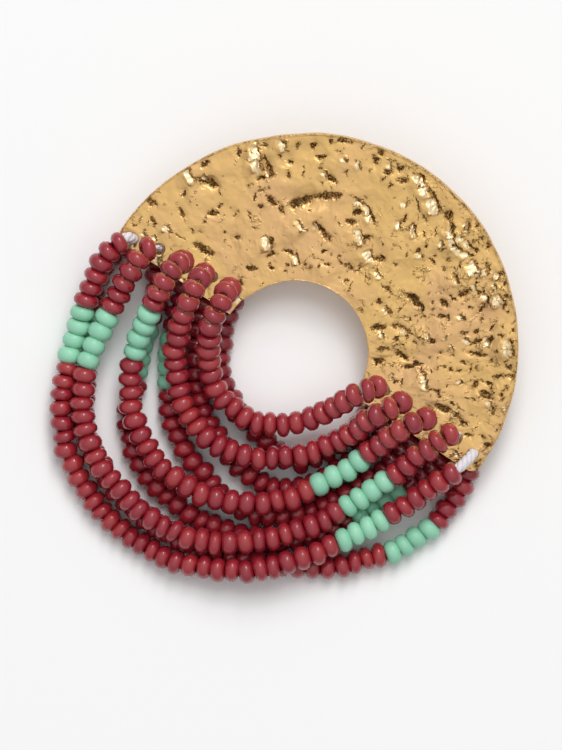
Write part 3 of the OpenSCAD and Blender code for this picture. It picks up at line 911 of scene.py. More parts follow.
    def drill(self, blank: Piece) -> bpy.types.Mesh:
        """Cuts the ten thread holes.

        Args:
            blank: The plate without them.

        Returns:
            The finished mesh.
        """
        cutter = bmesh.new()
        r = self.hole_d / 2
        for x, y in (*self.left_holes, *self.right_holes):
            bmesh.ops.create_cone(cutter, cap_ends=True, segments=28, radius1=r, radius2=r,
                                  depth=8, matrix=Matrix.Translation((x, y, 0)))
        tool = as_object("hole_cutter", cutter)
        cut = blank.modifiers.new("holes", "BOOLEAN")
        cut.operation, cut.object, cut.solver = "DIFFERENCE", tool, "MANIFOLD"
        bpy.context.view_layer.update()
        whole = blank.evaluated_get(bpy.context.evaluated_depsgraph_get())
        done = bpy.data.meshes.new_from_object(whole)
        bpy.data.objects.remove(tool)
        return done

    def post(self) -> BMesh:
        """The ear post with its pad, a catch groove and a rounded tip, by turning a profile.

        Returns:
            The mesh, in millimetres on the plate.
        """
        r = self.post_r
        rest = (self.lying() @ Vector((0, self.post_at, 0))).z / MM
        end = (r - rest) / math.cos(math.radians(self.tilt))
        # Radius and height of each corner: the pad, its hollow side, the groove and the tip
        profile = [(0, 0.3), (2, 0.3), (2, -0.3), (1.9, -0.44), (1.75, -0.5), (0.9, -0.52),
                   (0.62, -0.6), (0.47, -0.8), (r, -1.1),
                   (r, end + 2.4), (0.36, end + 2.15), (0.36, end + 1.85), (r, end + 1.6),
                   (r, end), (0.39, end - 0.23), (0.24, end - 0.39), (0, end - 0.45)]
        bm = bmesh.new()
        corners = [(x, 0, z) for x, z in profile]
        turn_profile(bm, corners, (0, 0, 1), 32, closed=False)
        bmesh.ops.remove_doubles(bm, verts=bm.verts, dist=0.001)
        bmesh.ops.recalc_face_normals(bm, faces=bm.faces)
        bmesh.ops.translate(bm, verts=bm.verts, vec=(0, self.post_at, 0))
        return bm

    def build(self) -> list[Piece]:
        """Makes the plate and its post where they lie, and dresses them.

        Returns:
            The two pieces.
        """
        gold = self.finish.material()
        # Without a seed of its own, Blender's noise is another one in every run
        noise.seed_set(self.seed)
        blank = as_object("blank", self.sheet())
        mesh = self.drill(blank)
        bpy.data.objects.remove(blank)
        mesh.transform(self.lying())
        mesh.set_sharp_from_angle(angle=math.radians(self.sharp_angle))
        plate = put("hammered_plate", mesh)
        post_mesh = self.post()
        bmesh.ops.transform(post_mesh, matrix=self.lying(), verts=post_mesh.verts)
        post = as_object("ear_post", post_mesh)
        for piece in (plate, post):
            finish_piece(piece, gold, ("plate",))
        return [plate, post]


@dataclass(frozen=True)
class BeadShape:
    """A seed bead: its diameter in millimetres, and its length as a share of its place."""

    diameter: float
    length: float
    fullness: float = 0.88
    sides: int = 12
    angles: tuple[int, ...] = (-78, -52, -26, 0, 26, 52, 78)

    def add_to(self, bm: BMesh, where: Matrix, tone: float, swell: float, pitch: float) -> None:
        """Turns one bead about its hole and puts it in place.

        Args:
            bm: The mesh that it joins.
            where: Its place, with the hole along local X, in metres from millimetres.
            tone: Its own shade, 0 to 1.
            swell: Factor on the diameter.
            pitch: Its place along the string, in millimetres.
        """
        layer = bm.verts.layers.float.get("tone") or bm.verts.layers.float.new("tone")
        half, r = self.length / 2 * pitch, self.diameter / 2 * swell
        profile = []
        for a in map(math.radians, self.angles):
            profile.append((half * math.copysign(abs(math.sin(a)) ** self.fullness, a),
                            r * math.cos(a) ** self.fullness, 0))
        turn_profile(bm, profile, (1, 0, 0), self.sides, closed=True)
        fresh = [v for v in bm.verts if not v.tag]
        for v in fresh:
            v[layer] = tone
            v.tag = True
        bmesh.ops.transform(bm, matrix=where, verts=fresh)


@dataclass
class Route:
    """A smooth line through the given points of a string, in millimetres."""

    points: tuple[Point, ...]
    steps: int = 8
    fine: list[Vector] = field(default_factory=list)
    lengths: list[float] = field(default_factory=list)

    def __post_init__(self) -> None:
        """Lays the smooth line and measures it."""
        p = [Vector(q) for q in self.points]
        p = [2 * p[0] - p[1], *p, 2 * p[-1] - p[-2]]
        for a, b, c, d in zip(p, p[1:], p[2:], p[3:]):
            for k in range(self.steps):
                t = k / self.steps
                self.fine.append(0.5 * ((2 * b) + (c - a) * t
                                        + (2 * a - 5 * b + 4 * c - d) * t ** 2
                                        + (3 * b - a - 3 * c + d) * t ** 3))
        self.fine.append(p[-2])
        self.lengths.append(0.0)
        for a, b in zip(self.fine, self.fine[1:]):
            self.lengths.append(self.lengths[-1] + (b - a).length)

    @property
    def length(self) -> float:
        """The line's whole length."""
        return self.lengths[-1]

    def at(self, far: float) -> Spot:
        """A place on the line.

        Args:
            far: How far along it.

        Returns:
            The point, and the line's direction there.
        """
        far = min(max(far, 0.0), self.length)
        k = max(1, int(np.searchsorted(self.lengths, far)))
        a, b = self.fine[k - 1], self.fine[k]
        step = self.lengths[k] - self.lengths[k - 1]
        share = (far - self.lengths[k - 1]) / step if step else 0.0
        return a.lerp(b, share), (b - a).normalized()

    def spots(self, steps: int) -> list[Spot]:
        """Evenly spaced places on the line, from one end to the other."""
        return [self.at(self.length * k / steps) for k in range(steps + 1)]


@dataclass
class BeadString:
    """One string of seed beads on its thread."""

    name: str
    node: str
    route: Route
    runs: tuple[int, ...]
    seed: int
    # Factor on the length of the beads before the first mint one
    first: float = 1.0
    # Beads at each end that arch over the metal
    arching: int = 0

    SHAPES = {Bead.RED: BeadShape(3.3, 1.14), Bead.MINT: BeadShape(3.22, 1.15, fullness=0.84)}
    # How much longer a mint bead is than a red one
    MINT_SHARE = 1.06
    # How beads differ: factors on their length and diameter, shift sideways in millimetres, and
    # how far their holes lean sideways and upwards
    LENGTHS = (0.87, 1.13)
    SWELLS = (0.96, 1.04)
    SHIFT = 0.17
    LEANS = (0.14, 0.1)
    # Least gap to the floor, and the thread's radius and steps
    GAP = 0.03
    CORD_R = 0.12
    CORD_STEPS = 60

    def colours(self) -> list[Bead]:
        """Bead after bead: the runs are red and mint in turn, starting with red."""
        return [Bead.MINT if k % 2 else Bead.RED
                for k, count in enumerate(self.runs) for _ in range(count)]

    def place(self, far: float, r: float, chance: random.Random) -> Matrix:
        """Where a bead hangs, a little out of line.

        Args:
            far: How far along the string its middle is.
            r: Its radius.
            chance: Draws the differences.

        Returns:
            Its place, with the hole along local X, in metres from millimetres.
        """
        spot, ahead = self.route.at(far)
        side = ahead.cross(Vector((0, 0, 1))).normalized()
        spot = spot + side * chance.uniform(-self.SHIFT, self.SHIFT)
        spot.z = max(spot.z, r + self.GAP)
        aside, upwards = (chance.uniform(-lean, lean) for lean in self.LEANS)
        tip = (ahead + side * aside + Vector((0, 0, upwards))).normalized()
        side = tip.cross(Vector((0, 0, 1))).normalized()
        facing = Matrix((tip, side, side.cross(tip))).transposed().to_4x4()
        spin = Matrix.Rotation(chance.uniform(0, 2 * math.pi), 4, "X")
        return (Matrix.Translation((spot + CENTRING) * MM) @ facing @ spin
                @ Matrix.Scale(MM, 4))

    def build(self, looks: dict[Bead, Material], cord: Material) -> list[Piece]:
        """Threads the beads along the route and dresses them, one piece for each colour.

        Args:
            looks: The material of each bead colour.
            cord: The thread's material.

        Returns:
            The new pieces.
        """
        chance = random.Random(self.seed)
        order = self.colours()
        shares = [chance.uniform(*self.LENGTHS) * (self.MINT_SHARE if colour is Bead.MINT else 1)
                  for colour in order]
        shares[:self.runs[0]] = [share * self.first for share in shares[:self.runs[0]]]
        pitches = [self.route.length * share / sum(shares) for share in shares]
        meshes: dict[tuple[Bead, bool], BMesh] = {}
        for k, (colour, pitch) in enumerate(zip(order, pitches)):
            shape = self.SHAPES[colour]
            swell = chance.uniform(*self.SWELLS)
            where = self.place(sum(pitches[:k]) + pitch / 2, shape.diameter / 2 * swell, chance)
            key = (colour, min(k, len(order) - 1 - k) < self.arching)
            if key not in meshes:
                meshes[key] = bmesh.new()
            shape.add_to(meshes[key], where, chance.random(), swell, pitch)
        pieces = []
        for (colour, is_end), bm in meshes.items():
            bmesh.ops.recalc_face_normals(bm, faces=bm.faces)
            piece = as_object(f"{self.name}_{colour.name.lower()}{'_ends' if is_end else ''}", bm)
            # Hammered metal breaks up the mirror image of the beads close above it
            piece.visible_glossy = not is_end
            finish_piece(piece, looks[colour], (self.node,))
            pieces.append(piece)
        line = [spot for spot, _ in self.route.spots(self.CORD_STEPS)]
        core = soft_line(f"{self.name}_cord", [(line, 1)], self.CORD_R)
        finish_piece(core, cord, (self.node,))
        return [*pieces, core]


@dataclass
class HoleThreads:
    """The twisted threads through the five holes of one arm."""

    name: str
    node: str
    holes: tuple[Pair, ...]
    # Each string's end and the way out of it, in front and behind
    fronts: list[Spot]
    backs: list[Spot]
    plate: Plate
    strands: int = 3
    radius: float = 0.36
    twist: float = 2.4
    # How far apart the strands of a thread lie, as a share of their radius
    apart: float = 0.62
    # How far a thread runs into its first bead and straight out of it
    inside: float = 0.3
    outside: float = 0.45
    # How far it stands up over its hole, and hangs below it
    stand: float = 0.3
    hang: float = 0.4
    # Length of a step along it
    step: float = 0.16
    # Share of the radius at each hole: the inner threads are drawn tight
    shares: tuple[float, ...] = (1.25, 0.55, 0.45, 0.45, 0.45)

    def over(self, index: int, height: float) -> Vector:
        """The point at a height over the back of the plate, in the middle of a hole."""
        return self.plate.lying() @ Vector((*self.holes[index], height)) / MM - CENTRING

    def middle(self, index: int) -> Route:
        """The middle of a thread: out of a front string, through the hole, into a back string.

        Args:
            index: The hole's number, outermost first.

        Returns:
            The line.
        """
        (front, front_way), (back, back_way) = self.fronts[index], self.backs[index]
        top = self.plate.thickness
        reach = (front - self.over(index, top)).length
        # A thread with little room stays low
        lift = min(self.stand, 0.3 * (reach - 0.6))
        line = (front - front_way * self.inside, front + front_way * self.outside,
                self.over(index, top + lift), self.over(index, -self.hang),
                back + back_way * self.outside, back - back_way * self.inside)
        return Route(tuple(tuple(p) for p in line))

    def build(self, look: Material) -> Piece:
        """Twists the strands round each middle line and dresses them.

        Args:
            look: The thread's material.

        Returns:
            The new piece.
        """
        lines: list[tuple[list[Vector], float]] = []
        for index, share in enumerate(self.shares):
            route = self.middle(index)
            steps = max(12, int(route.length / self.step))
            for strand in range(self.strands):
                line = []
                for k, (spot, ahead) in enumerate(route.spots(steps)):
                    side = ahead.cross(Vector((0.3, 0.2, 1))).normalized()
                    up = side.cross(ahead)
                    turns = strand / self.strands + route.length * k / steps / self.twist
                    off = self.apart * self.radius * share
                    line.append(spot + off * (math.cos(2 * math.pi * turns) * side
                                              + math.sin(2 * math.pi * turns) * up))
                lines.append((line, share))
        piece = soft_line(self.name, lines, self.radius)
        finish_piece(piece, look, (self.node,))
        return piece


def turn_profile(bm: BMesh, points: list[Point], axis: Point, steps: int, closed: bool) -> None:
    """Turns a profile about an axis through the origin.

    Args:
        bm: The mesh that it joins.
        points: The profile's corners.
        axis: The axis.
        steps: How many sides the turned shape has.
        closed: Whether the last corner joins the first one.
    """
    ring = [bm.verts.new(point) for point in points]
    after = ring[1:] + ring[:1] if closed else ring[1:]
    edges = [bm.edges.new(pair) for pair in zip(ring, after)]
    bmesh.ops.spin(bm, geom=ring + edges, cent=(0, 0, 0), axis=axis, angle=2 * math.pi,
                   steps=steps, use_merge=True, use_duplicate=False)


def put(name: str, data: bpy.types.ID) -> Piece:
    """Puts a mesh, curve, light or camera into the scene.

    Args:
        name: The object's name.
        data: What it shows.

    Returns:
        The object.
    """
    made = bpy.data.objects.new(name, data)
    bpy.context.scene.collection.objects.link(made)
    return made


def as_object(name: str, bm: BMesh) -> Piece:
    """Turns a bmesh into an object of the scene with smooth faces, and frees it.

    Args:
        name: The object's name.
        bm: Its mesh.

    Returns:
        The object.
    """
    for f in bm.faces:
        f.smooth = True
    mesh = bpy.data.meshes.new(name)
    bm.to_mesh(mesh)
    bm.free()
    return put(name, mesh)


def soft_line(name: str, lines: list[tuple[list[Vector], float]], radius: float) -> Piece:
    """Round threads along lines of points.

    Args:
        name: The piece's name.
        lines: For each thread its points in millimetres, and its share of the radius.
        radius: Of a full thread, in millimetres.

    Returns:
        A mesh object.
    """
    curve = bpy.data.curves.new(name, "CURVE")
    curve.dimensions = "3D"
    curve.bevel_depth = radius * MM
    curve.bevel_resolution = 3
    curve.use_fill_caps = True
    for line, share in lines:
        spline = curve.splines.new("POLY")
        spline.points.add(len(line) - 1)
        for point, spot in zip(spline.points, line):
            point.co, point.radius = (*((spot + CENTRING) * MM), 1), share
    holder = put(name + "_curve", curve)
    mesh = bpy.data.meshes.new_from_object(holder)
    bpy.data.objects.remove(holder)
    for polygon in mesh.polygons:
        polygon.use_smooth = True
    return put(name, mesh)


def finish_piece(piece: Piece, look: Material, nodes: tuple[str, ...]) -> None:
    """Gives a piece its material, puts it under the root body, and hides the CAD parts that it
    stands for.

    Args:
        piece: The piece.
        look: Its material.
        nodes: Nodes of the CAD model that it stands for.
    """
    piece.data.materials.clear()
    piece.data.materials.append(look)
    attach(piece, "root")
    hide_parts(*nodes)
    LOG.info("%s: %d faces", piece.name, len(piece.data.polygons))


# Points along each string from the left arm to the right one, as in the source
ROUTES: dict[str, tuple[Point, ...]] = {
    "front_1": (
        (-20.6, 15.5, 6.8), (-22, 14.5, 6.9), (-23.3, 12.8, 6.4), (-24.4, 10.8, 5.8),
        (-25.1, 8.8, 5.3), (-25.8, 6.8, 4.75), (-26.5, 4.8, 4.15), (-27.1, 2.8, 3.6),
        (-27.7, 0.6, 3.5), (-28.3, -2, 3.4), (-28.8, -5, 3.3), (-28.9, -7.5, 3.2),
        (-28.7, -10, 2.9), (-28.1, -12.5, 2.5), (-26.9, -15.2, 2.1), (-25.1, -17.9, 1.9),
        (-23.2, -20.4, 1.7), (-20.8, -22.6, 1.6), (-18, -24.4, 1.8), (-14.8, -26.1, 2.4),
        (-11.2, -27.1, 3.2), (-7.6, -27.6, 3.8), (-4, -27.6, 4.3), (-0.5, -26.9, 4.5),
        (3.3, -25.7, 4.5), (6.5, -24.2, 4.3), (9.9, -22.4, 4.1), (13.3, -20.8, 4.2),
        (16.1, -18.9, 4.6), (18.7, -17, 5.3), (20.8, -15.6, 6), (22.6, -14.3, 6.5),
    ),
    "front_2": (
        (-16.7, 14.3, 7.2), (-18.1, 13.8, 7.6), (-19.2, 12.6, 7.6), (-20.1, 11, 7.3),
        (-21, 9.3, 6.8), (-21.9, 7.6, 6.2), (-22.8, 5.8, 5.7), (-23.8, 3.9, 5.4),
        (-24.7, 1.9, 5.2), (-25.4, -0.2, 5), (-25.9, -2.3, 4.9), (-26.1, -4.8, 4.7),
        (-26.2, -7.4, 4.6), (-25.6, -9.7, 4.5), (-24.6, -12.2, 4.5), (-23.2, -14.8, 4.6),
        (-21.6, -16.8, 4.6), (-19.8, -18.8, 4.5), (-17.6, -20.6, 4.5), (-15.2, -22, 4.5),
        (-12.6, -23.3, 4.5), (-10, -23.8, 4.5), (-7, -24, 4.5), (-4.6, -23.9, 4.5),
        (-1.8, -23.4, 4.5), (1, -22.7, 4.5), (3.9, -21.6, 4.5), (6.5, -20.4, 4.5),
        (8.9, -18.9, 4.6), (11.2, -17.3, 4.7), (13.3, -15.8, 5.2), (15.3, -14.3, 5.9),
        (17.1, -12.9, 6.8), (18.7, -11.7, 7.5), (20.1, -10.7, 7.9), (21.4, -10, 7.7),
        (22.4, -9.8, 7.2),
    ),
    "front_3": (
        (-13, 12.5, 6.5), (-13.2, 12.5, 7.6), (-13.6, 12.4, 8.7), (-14.1, 12, 9.6),
        (-14.8, 11.2, 10), (-15.6, 9.9, 9.9), (-16.4, 8.3, 9.2), (-17.1, 6.6, 8.3),
        (-17.9, 4.9, 7.3), (-18.6, 3.3, 6.4), (-19.2, 1.6, 5.7), (-19.7, -0.3, 5.1),
        (-20, -2.6, 4.7), (-19.9, -5, 4.5), (-19.7, -7, 4.5), (-19.1, -9, 4.5), (-18.2, -11, 4.5),
        (-16.8, -13.1, 4.5), (-15.2, -14.8, 4.5), (-13.2, -16.4, 4.5), (-10.9, -17.6, 4.5),
        (-8.4, -18.3, 4.5), (-5.8, -18.7, 4.5), (-2.8, -18.8, 4.5), (-0.3, -18.5, 4.5),
        (2.3, -17.6, 4.5), (4.9, -16.3, 4.5), (7.5, -14.8, 4.6), (9.8, -13.3, 5.1),
        (11.6, -11.9, 6.1), (13, -10.7, 7.1), (14.4, -9.6, 8), (15.8, -8.9, 8.7),
        (17.1, -8.2, 8.7), (18.2, -7.8, 8), (19.1, -7.6, 7),
    ),
    "front_4": (
        (-10.1, 10.9, 6.7), (-10.4, 10.8, 7.7), (-10.8, 10.5, 8.7), (-11.2, 10, 9.6),
        (-11.7, 9, 10.1), (-12.2, 7.8, 9.9), (-12.7, 6.5, 9.3), (-13.2, 5, 8.3), (-13.6, 3.4, 7.3),
        (-14, 1.7, 6.3), (-14.1, -0.2, 5.4), (-14, -2.2, 4.8), (-13.6, -4.2, 4.5), (-13, -6, 4.5),
        (-12, -7.8, 4.5), (-10.8, -9.4, 4.5), (-9.3, -10.8, 4.5), (-7.3, -12, 4.5),
        (-5, -12.8, 4.5), (-2.8, -13, 4.5), (-0.6, -12.9, 4.5), (1.6, -12.6, 4.5), (3.9, -12, 4.5),
        (6.1, -11.2, 4.6), (8.1, -10.1, 5.3), (9.8, -8.9, 6.5), (11.3, -7.9, 7.6),
        (12.7, -7.1, 8.5), (14, -6.4, 8.7), (15.1, -5.9, 8), (15.9, -5.5, 7),
    ),
    "front_5": (
        (-6.9, 9.3, 6.6), (-7.1, 9.1, 7.7), (-7.4, 8.7, 8.8), (-7.8, 7.9, 9.7), (-8.3, 6.9, 10.1),
        (-8.9, 5.7, 9.9), (-9.3, 4.4, 9.2), (-9.6, 3, 8.3), (-9.8, 1.4, 7.1), (-9.8, -0.2, 6),
        (-9.5, -2, 5.1), (-8.9, -3.8, 4.6), (-7.8, -5.4, 4.5), (-6.3, -6.7, 4.5),
        (-4.7, -7.8, 4.5), (-2.8, -8.5, 4.5), (-0.9, -8.7, 4.5), (1, -8.6, 4.5), (2.9, -8.1, 4.7),
        (4.7, -7.3, 5.4), (6.3, -6.4, 6.5), (7.8, -5.6, 7.7), (9.2, -4.9, 8.6), (10.6, -4.3, 8.9),
        (11.8, -3.9, 8.2), (12.6, -3.7, 7.1),
    ),
    "back_1": (
        (-20.4, 15, 2.3), (-22.2, 13.6, 1.8), (-23.6, 11.8, 1.45), (-24.6, 9.6, 1.45),
        (-25.2, 7.4, 1.45), (-25.1, 5.4, 1.45), (-25, 3.4, 1.45), (-25.3, 1.4, 1.45),
        (-25.7, -0.6, 1.45), (-26, -2.6, 1.45), (-26.2, -5, 1.45), (-26.2, -8, 1.45),
        (-25.6, -10.2, 1.45), (-24.6, -12.6, 1.45), (-23.4, -14.9, 1.45), (-21.9, -17, 1.45),
        (-20.1, -19, 1.45), (-18, -20.9, 1.45), (-15.6, -22.5, 1.45), (-13, -23.8, 1.45),
        (-10.2, -24.8, 1.45), (-7.4, -25.6, 1.45), (-4.4, -26.2, 1.45), (-1.4, -26.7, 1.45),
        (1.6, -27, 1.45), (4.4, -27.2, 1.45), (7, -27, 1.45), (9.8, -26.4, 1.45),
        (12.4, -25.7, 1.45), (15.2, -24.8, 1.45), (17.4, -23.4, 1.45), (19.6, -21.8, 1.45),
        (21.2, -19.8, 1.45), (22.5, -17.8, 1.45), (23.6, -15.8, 1.9), (24.3, -14, 2.3),
    ),
    "back_2": (
        (-16.1, 13.5, 2.5), (-16.3, 12, 2.1), (-16.4, 10, 1.6), (-16.6, 7.6, 1.45),
        (-17.2, 5.6, 1.45), (-18, 3.2, 1.45), (-18.6, 1.2, 1.45), (-19.1, -0.8, 1.45),
        (-19.4, -3, 1.45), (-20.1, -5.2, 1.45), (-20.4, -7.4, 1.45), (-20, -9.6, 1.45),
        (-19.4, -12, 1.45), (-18.4, -14.2, 1.45), (-17, -16.2, 1.45), (-15.2, -18, 1.45),
        (-13.2, -19.6, 1.45), (-11, -21, 1.45), (-8.8, -22, 1.45), (-6.6, -22.7, 1.45),
        (-4.2, -23.2, 1.45), (-1.6, -23.6, 1.45), (1, -23.8, 1.45), (3.4, -23.3, 1.45),
        (5.9, -22.5, 1.45), (8.3, -21.3, 1.45), (10.5, -20, 1.45), (12.6, -18.6, 1.45),
        (15, -17.1, 1.45), (17.4, -15.8, 1.45), (19.4, -14.4, 1.45), (21, -12.8, 1.9),
        (22.2, -11.3, 2.3),
    ),
    "back_3": (
        (-12.6, 11.7, 2.6), (-12.8, 10, 2.2), (-13.2, 8, 1.7), (-13.8, 5.8, 1.45),
        (-14.3, 3.6, 1.45), (-14.6, 1.4, 1.45), (-14.9, -0.8, 1.45), (-15.1, -3, 1.45),
        (-14.9, -5.4, 1.45), (-14.7, -7.6, 1.45), (-14, -9.6, 1.45), (-13, -11.6, 1.45),
        (-11.8, -13.4, 1.45), (-10.4, -15.2, 1.45), (-8.8, -17, 1.45), (-7.2, -18.7, 1.45),
        (-5.2, -19.8, 1.45), (-2.8, -20.4, 1.45), (-0.2, -20.6, 1.45), (2.2, -20.4, 1.45),
        (4.5, -19.6, 1.45), (6.6, -18.6, 1.45), (8.7, -17.3, 1.45), (10.9, -16, 1.45),
        (12.9, -14.7, 1.45), (14.7, -13.1, 1.45), (16.3, -11.5, 1.6), (17.6, -10, 2.1),
        (18.6, -8.9, 2.5),
    ),
    "back_4": (
        (-9.4, 9.8, 2.6), (-9.8, 8, 2.2), (-10.3, 6.2, 1.7), (-10.9, 4.4, 1.45),
        (-11.4, 2.4, 1.45), (-11.6, 0.4, 1.45), (-11.7, -1.6, 1.45), (-11.4, -3.6, 1.45),
        (-11, -5.6, 1.45), (-10.2, -7.6, 1.45), (-9, -9.8, 1.45), (-7.6, -12, 1.45),
        (-5.8, -14.2, 1.45), (-3.6, -15.8, 1.45), (-1.2, -16.9, 1.45), (1.2, -17.1, 1.45),
        (3.3, -16.7, 1.45), (5.3, -15.7, 1.45), (7.3, -14.5, 1.45), (9.4, -13.1, 1.45),
        (11.3, -11.6, 1.45), (13.1, -9.9, 1.6), (14.6, -8.2, 2.1), (15.7, -6.6, 2.6),
    ),
    "back_5": (
        (-6.4, 8.3, 2.6), (-6.9, 6.8, 2.2), (-7.5, 5, 1.7), (-8, 3, 1.45), (-8.3, 1, 1.45),
        (-8.4, -1.2, 1.45), (-7.9, -3.4, 1.45), (-7, -5.4, 1.45), (-5.6, -7.4, 1.45),
        (-3.8, -9.4, 1.45), (-1.9, -11.3, 1.45), (0.1, -12.9, 1.45), (2.2, -13.5, 1.45),
        (4.1, -12.8, 1.45), (6.1, -11.6, 1.45), (8, -10.2, 1.45), (9.8, -8.6, 1.6), (11.3, -7, 2),
        (12.6, -5.4, 2.6),
    ),
}

# Red and mint beads in turn along each string, from the left arm to the right one
RUNS: dict[str, tuple[int, ...]] = {
    "front_1": (6, 4, 30, 4, 6),
    "front_2": (6, 4, 27, 4, 6),
    "front_3": (6, 4, 19, 4, 6),
    "front_4": (31,),
    "front_5": (24,),
    "back_1": (6, 4, 31, 4, 5),
    "back_2": (5, 4, 24, 4, 5),
    "back_3": (5, 4, 26),
    "back_4": (29,),
    "back_5": (22,),
}
# Factor on the length of the beads before a string's first mint one
FIRST = {"front_1": 0.96, "front_3": 0.9}
# Beads at each end of a string that arch over the metal
ARCHING = {"front_2": 3, "front_3": 4, "front_4": 4, "front_5": 4}
# Strings that lie under others for most of their length, whose glass is painted darker as painted
# shade
COVERED = ("back_2", "back_3", "back_4", "back_5")
# Seed of the first string's random draws; each next string has the next one
FIRST_SEED = 11


@dataclass
class Studio:
    """Floor, lights and the camera that looks straight down."""

    # The camera, in millimetres: the middle of its picture, the picture's height, how high the
    # plane is where that holds, and its own height in metres
    look_at: Pair = (-0.505, -2.385)
    frame_height: float = 97.5
    plane: float = 4.5
    height: float = 0.9
    sensor: float = 36.0
    floor_half: float = 1.5
    floor_shades: tuple[Colour, Colour] = ((0.914, 0.913, 0.913), (0.92, 0.919, 0.919))
    # Brightness of the sky that lights the earring: at the horizon, what it gains up to straight
    # above, and the power of the height that it rises with
    cast: tuple[float, float, float] = (0.22, 0.95, 4.0)
    # The same for the sky that gold and glass mirror
    seen: tuple[float, float, float] = (0.54, 0.5, 2.0)
    # What a softbox adds to the mirrored sky, its azimuth and height, and its soft edge
    softbox: float = 0.5
    softbox_at: Pair = (80, 50)
    softbox_edge: Pair = (0.78, 0.96)
    # Azimuth and height of each lamp in degrees, its size in metres and its power in watts
    key_at: Pair = (80, 62)
    key_size: Pair = (0.8, 0.8)
    key_power: float = 12.0
    glint_at: Pair = (80, 46)
    glint_size: Pair = (0.33, 0.66)
    glint_power: float = 6.2
    lamp_distance: float = 1.7

    def floor(self) -> None:
        """A wide, plain, pale floor."""
        bm = bmesh.new()
        bmesh.ops.create_grid(bm, x_segments=2, y_segments=2, size=self.floor_half)
        floor = as_object("floor", bm)
        made = Recipe("pale_floor")
        made.set(Base_Color=made.mix(made.noise(6, detail=2), *self.floor_shades), Roughness=0.9)
        floor.data.materials.append(made.material)

    def light(self, name: str, at: Pair, size: Pair, power: float) -> Piece:
        """A soft light that faces the earring.

        Args:
            name: Its name.
            at: Its azimuth and height above the floor, in degrees.
            size: Its breadth and height in metres.
            power: In watts.

        Returns:
            The light's object.
        """
        lamp = bpy.data.lights.new(name, "AREA")
        lamp.shape, lamp.size, lamp.size_y, lamp.energy = "RECTANGLE", *size, power
        made = put(name, lamp)
        made.location = self.lamp_distance * direction(*at)
        made.rotation_euler = (-made.location).to_track_quat("-Z", "Y").to_euler()
        return made

    def camera(self) -> None:
        """The camera, so that the frame is that of the photograph."""
        data = bpy.data.cameras.new("overhead")
        data.sensor_fit, data.sensor_height = "VERTICAL", self.sensor
        data.lens = self.sensor * (self.height - self.plane * MM) / (self.frame_height * MM)
        data.clip_start = 0.05
        made = put("overhead", data)
        made.location = (self.look_at[0] * MM, self.look_at[1] * MM, self.height)
        bpy.context.scene.camera = made

    def sky(self) -> None:
        """Soft light from above, and the paler, calmer sky that the gold and the glass reflect."""
        world = bpy.data.worlds.new("studio")
        world.use_nodes = True
        made = Nodes(world.node_tree, "Generated")
        high = made.calc(made.towards(Vector((0, 0, 1))), "MAXIMUM", 0.0)
        cast, seen = (made.plus(made.times(made.calc(high, "POWER", power), gain), horizon)
                      for horizon, gain, power in (self.cast, self.seen))
        softbox = made.towards(direction(*self.softbox_at))
        seen = made.plus(seen, made.ramp(softbox, *self.softbox_edge, (0.0, self.softbox)))
        path = made.tree.nodes.new("ShaderNodeLightPath")
        background = made.tree.nodes["Background"]
        made.feed(background, "Color", made.mix(path.outputs["Is Glossy Ray"], cast, seen))
        bpy.context.scene.world = world

    def build(self) -> None:
        """Sets the stage."""
        self.floor()
        self.camera()
        key = self.light("key", self.key_at, self.key_size, self.key_power)
        key.visible_glossy = False
        self.light("glint", self.glint_at, self.glint_size, self.glint_power)
        self.sky()
        bpy.context.scene.view_settings.view_transform = "Standard"


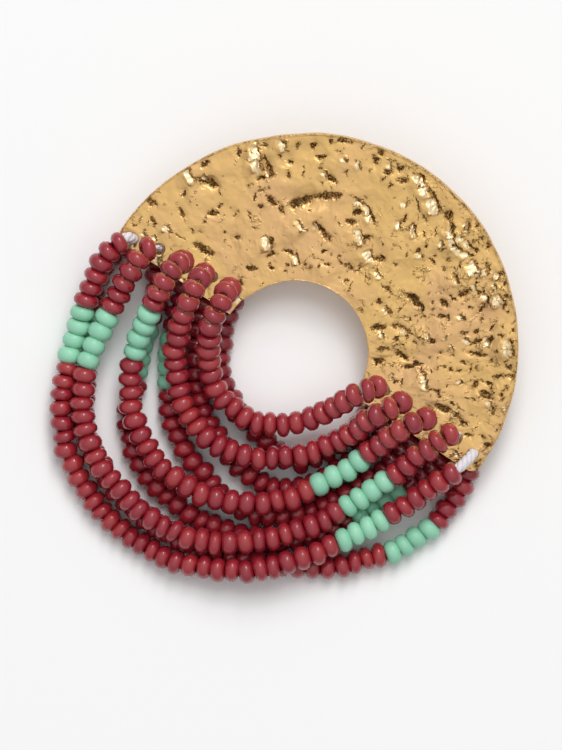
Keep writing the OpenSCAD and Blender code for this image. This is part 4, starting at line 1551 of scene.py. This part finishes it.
def glass_looks() -> tuple[dict[Bead, Material], dict[Bead, Material]]:
    """The glass of the open strings, and a duller copy painted darker as painted shade for the
    covered ones.

    Returns:
        The material of each bead colour, for the open strings and for the covered ones.
    """
    plain = {
        Bead.RED: GlassFinish("red_glass", (0.264, 0.012, 0.024), (0.32, 0.018, 0.028),
                              (0.355, 0.025, 0.03), 0.2, 0.5).material(),
        Bead.MINT: GlassFinish("mint_glass", (0.265, 0.59, 0.415), (0.295, 0.64, 0.45),
                               (0.33, 0.68, 0.48), 0.34, 0.1).material(),
    }
    # A copy of the same glass, painted darker as the painted shade of the strings on top
    deep = {
        Bead.RED: GlassFinish("deep_red_glass", (0.2, 0.008, 0.017), (0.25, 0.012, 0.021),
                              (0.28, 0.016, 0.023), 0.25, 0.3).material(),
        Bead.MINT: GlassFinish("deep_mint_glass", (0.215, 0.52, 0.355), (0.24, 0.56, 0.385),
                               (0.27, 0.6, 0.415), 0.38, 0.08).material(),
    }
    return plain, deep


def string_ends(routes: dict[str, Route], layer: Layer, side: Side) -> list[Spot]:
    """Where a layer's strings end at one arm.

    Args:
        routes: The line of every string.
        layer: The strings in front, or those behind.
        side: The arm.

    Returns:
        For each string, outermost first, its end and the way out of it.
    """
    ends = []
    for k in range(1, 6):
        route = routes[f"{layer.value}_{k}"]
        spot, ahead = route.at(route.length if side is Side.RIGHT else 0.0)
        ends.append((spot, ahead if side is Side.RIGHT else -ahead))
    return ends


def main() -> None:
    """Builds the studio and every piece in order."""
    logging.basicConfig(level=logging.INFO, format="%(name)s: %(message)s")
    Studio().build()
    plate = Plate()
    plate.build()
    plain, deep = glass_looks()
    thread = ThreadFinish().material()
    routes = {name: Route(points) for name, points in ROUTES.items()}
    for seed, (name, route) in enumerate(routes.items(), FIRST_SEED):
        string = BeadString(f"beads_{name}", f"strand_{name}", route, RUNS[name], seed,
                            FIRST.get(name, 1.0), ARCHING.get(name, 0))
        # Covered strings get the glass painted darker, as painted shade
        string.build(deep if name in COVERED else plain, thread)
    for side, holes in ((Side.LEFT, plate.left_holes), (Side.RIGHT, plate.right_holes)):
        fronts, backs = (string_ends(routes, layer, side) for layer in Layer)
        threads = HoleThreads(f"thread_{side.value}", f"threads_{side.value}", holes, fronts,
                              backs, plate)
        threads.build(thread)


if __name__ == "__main__":
    main()
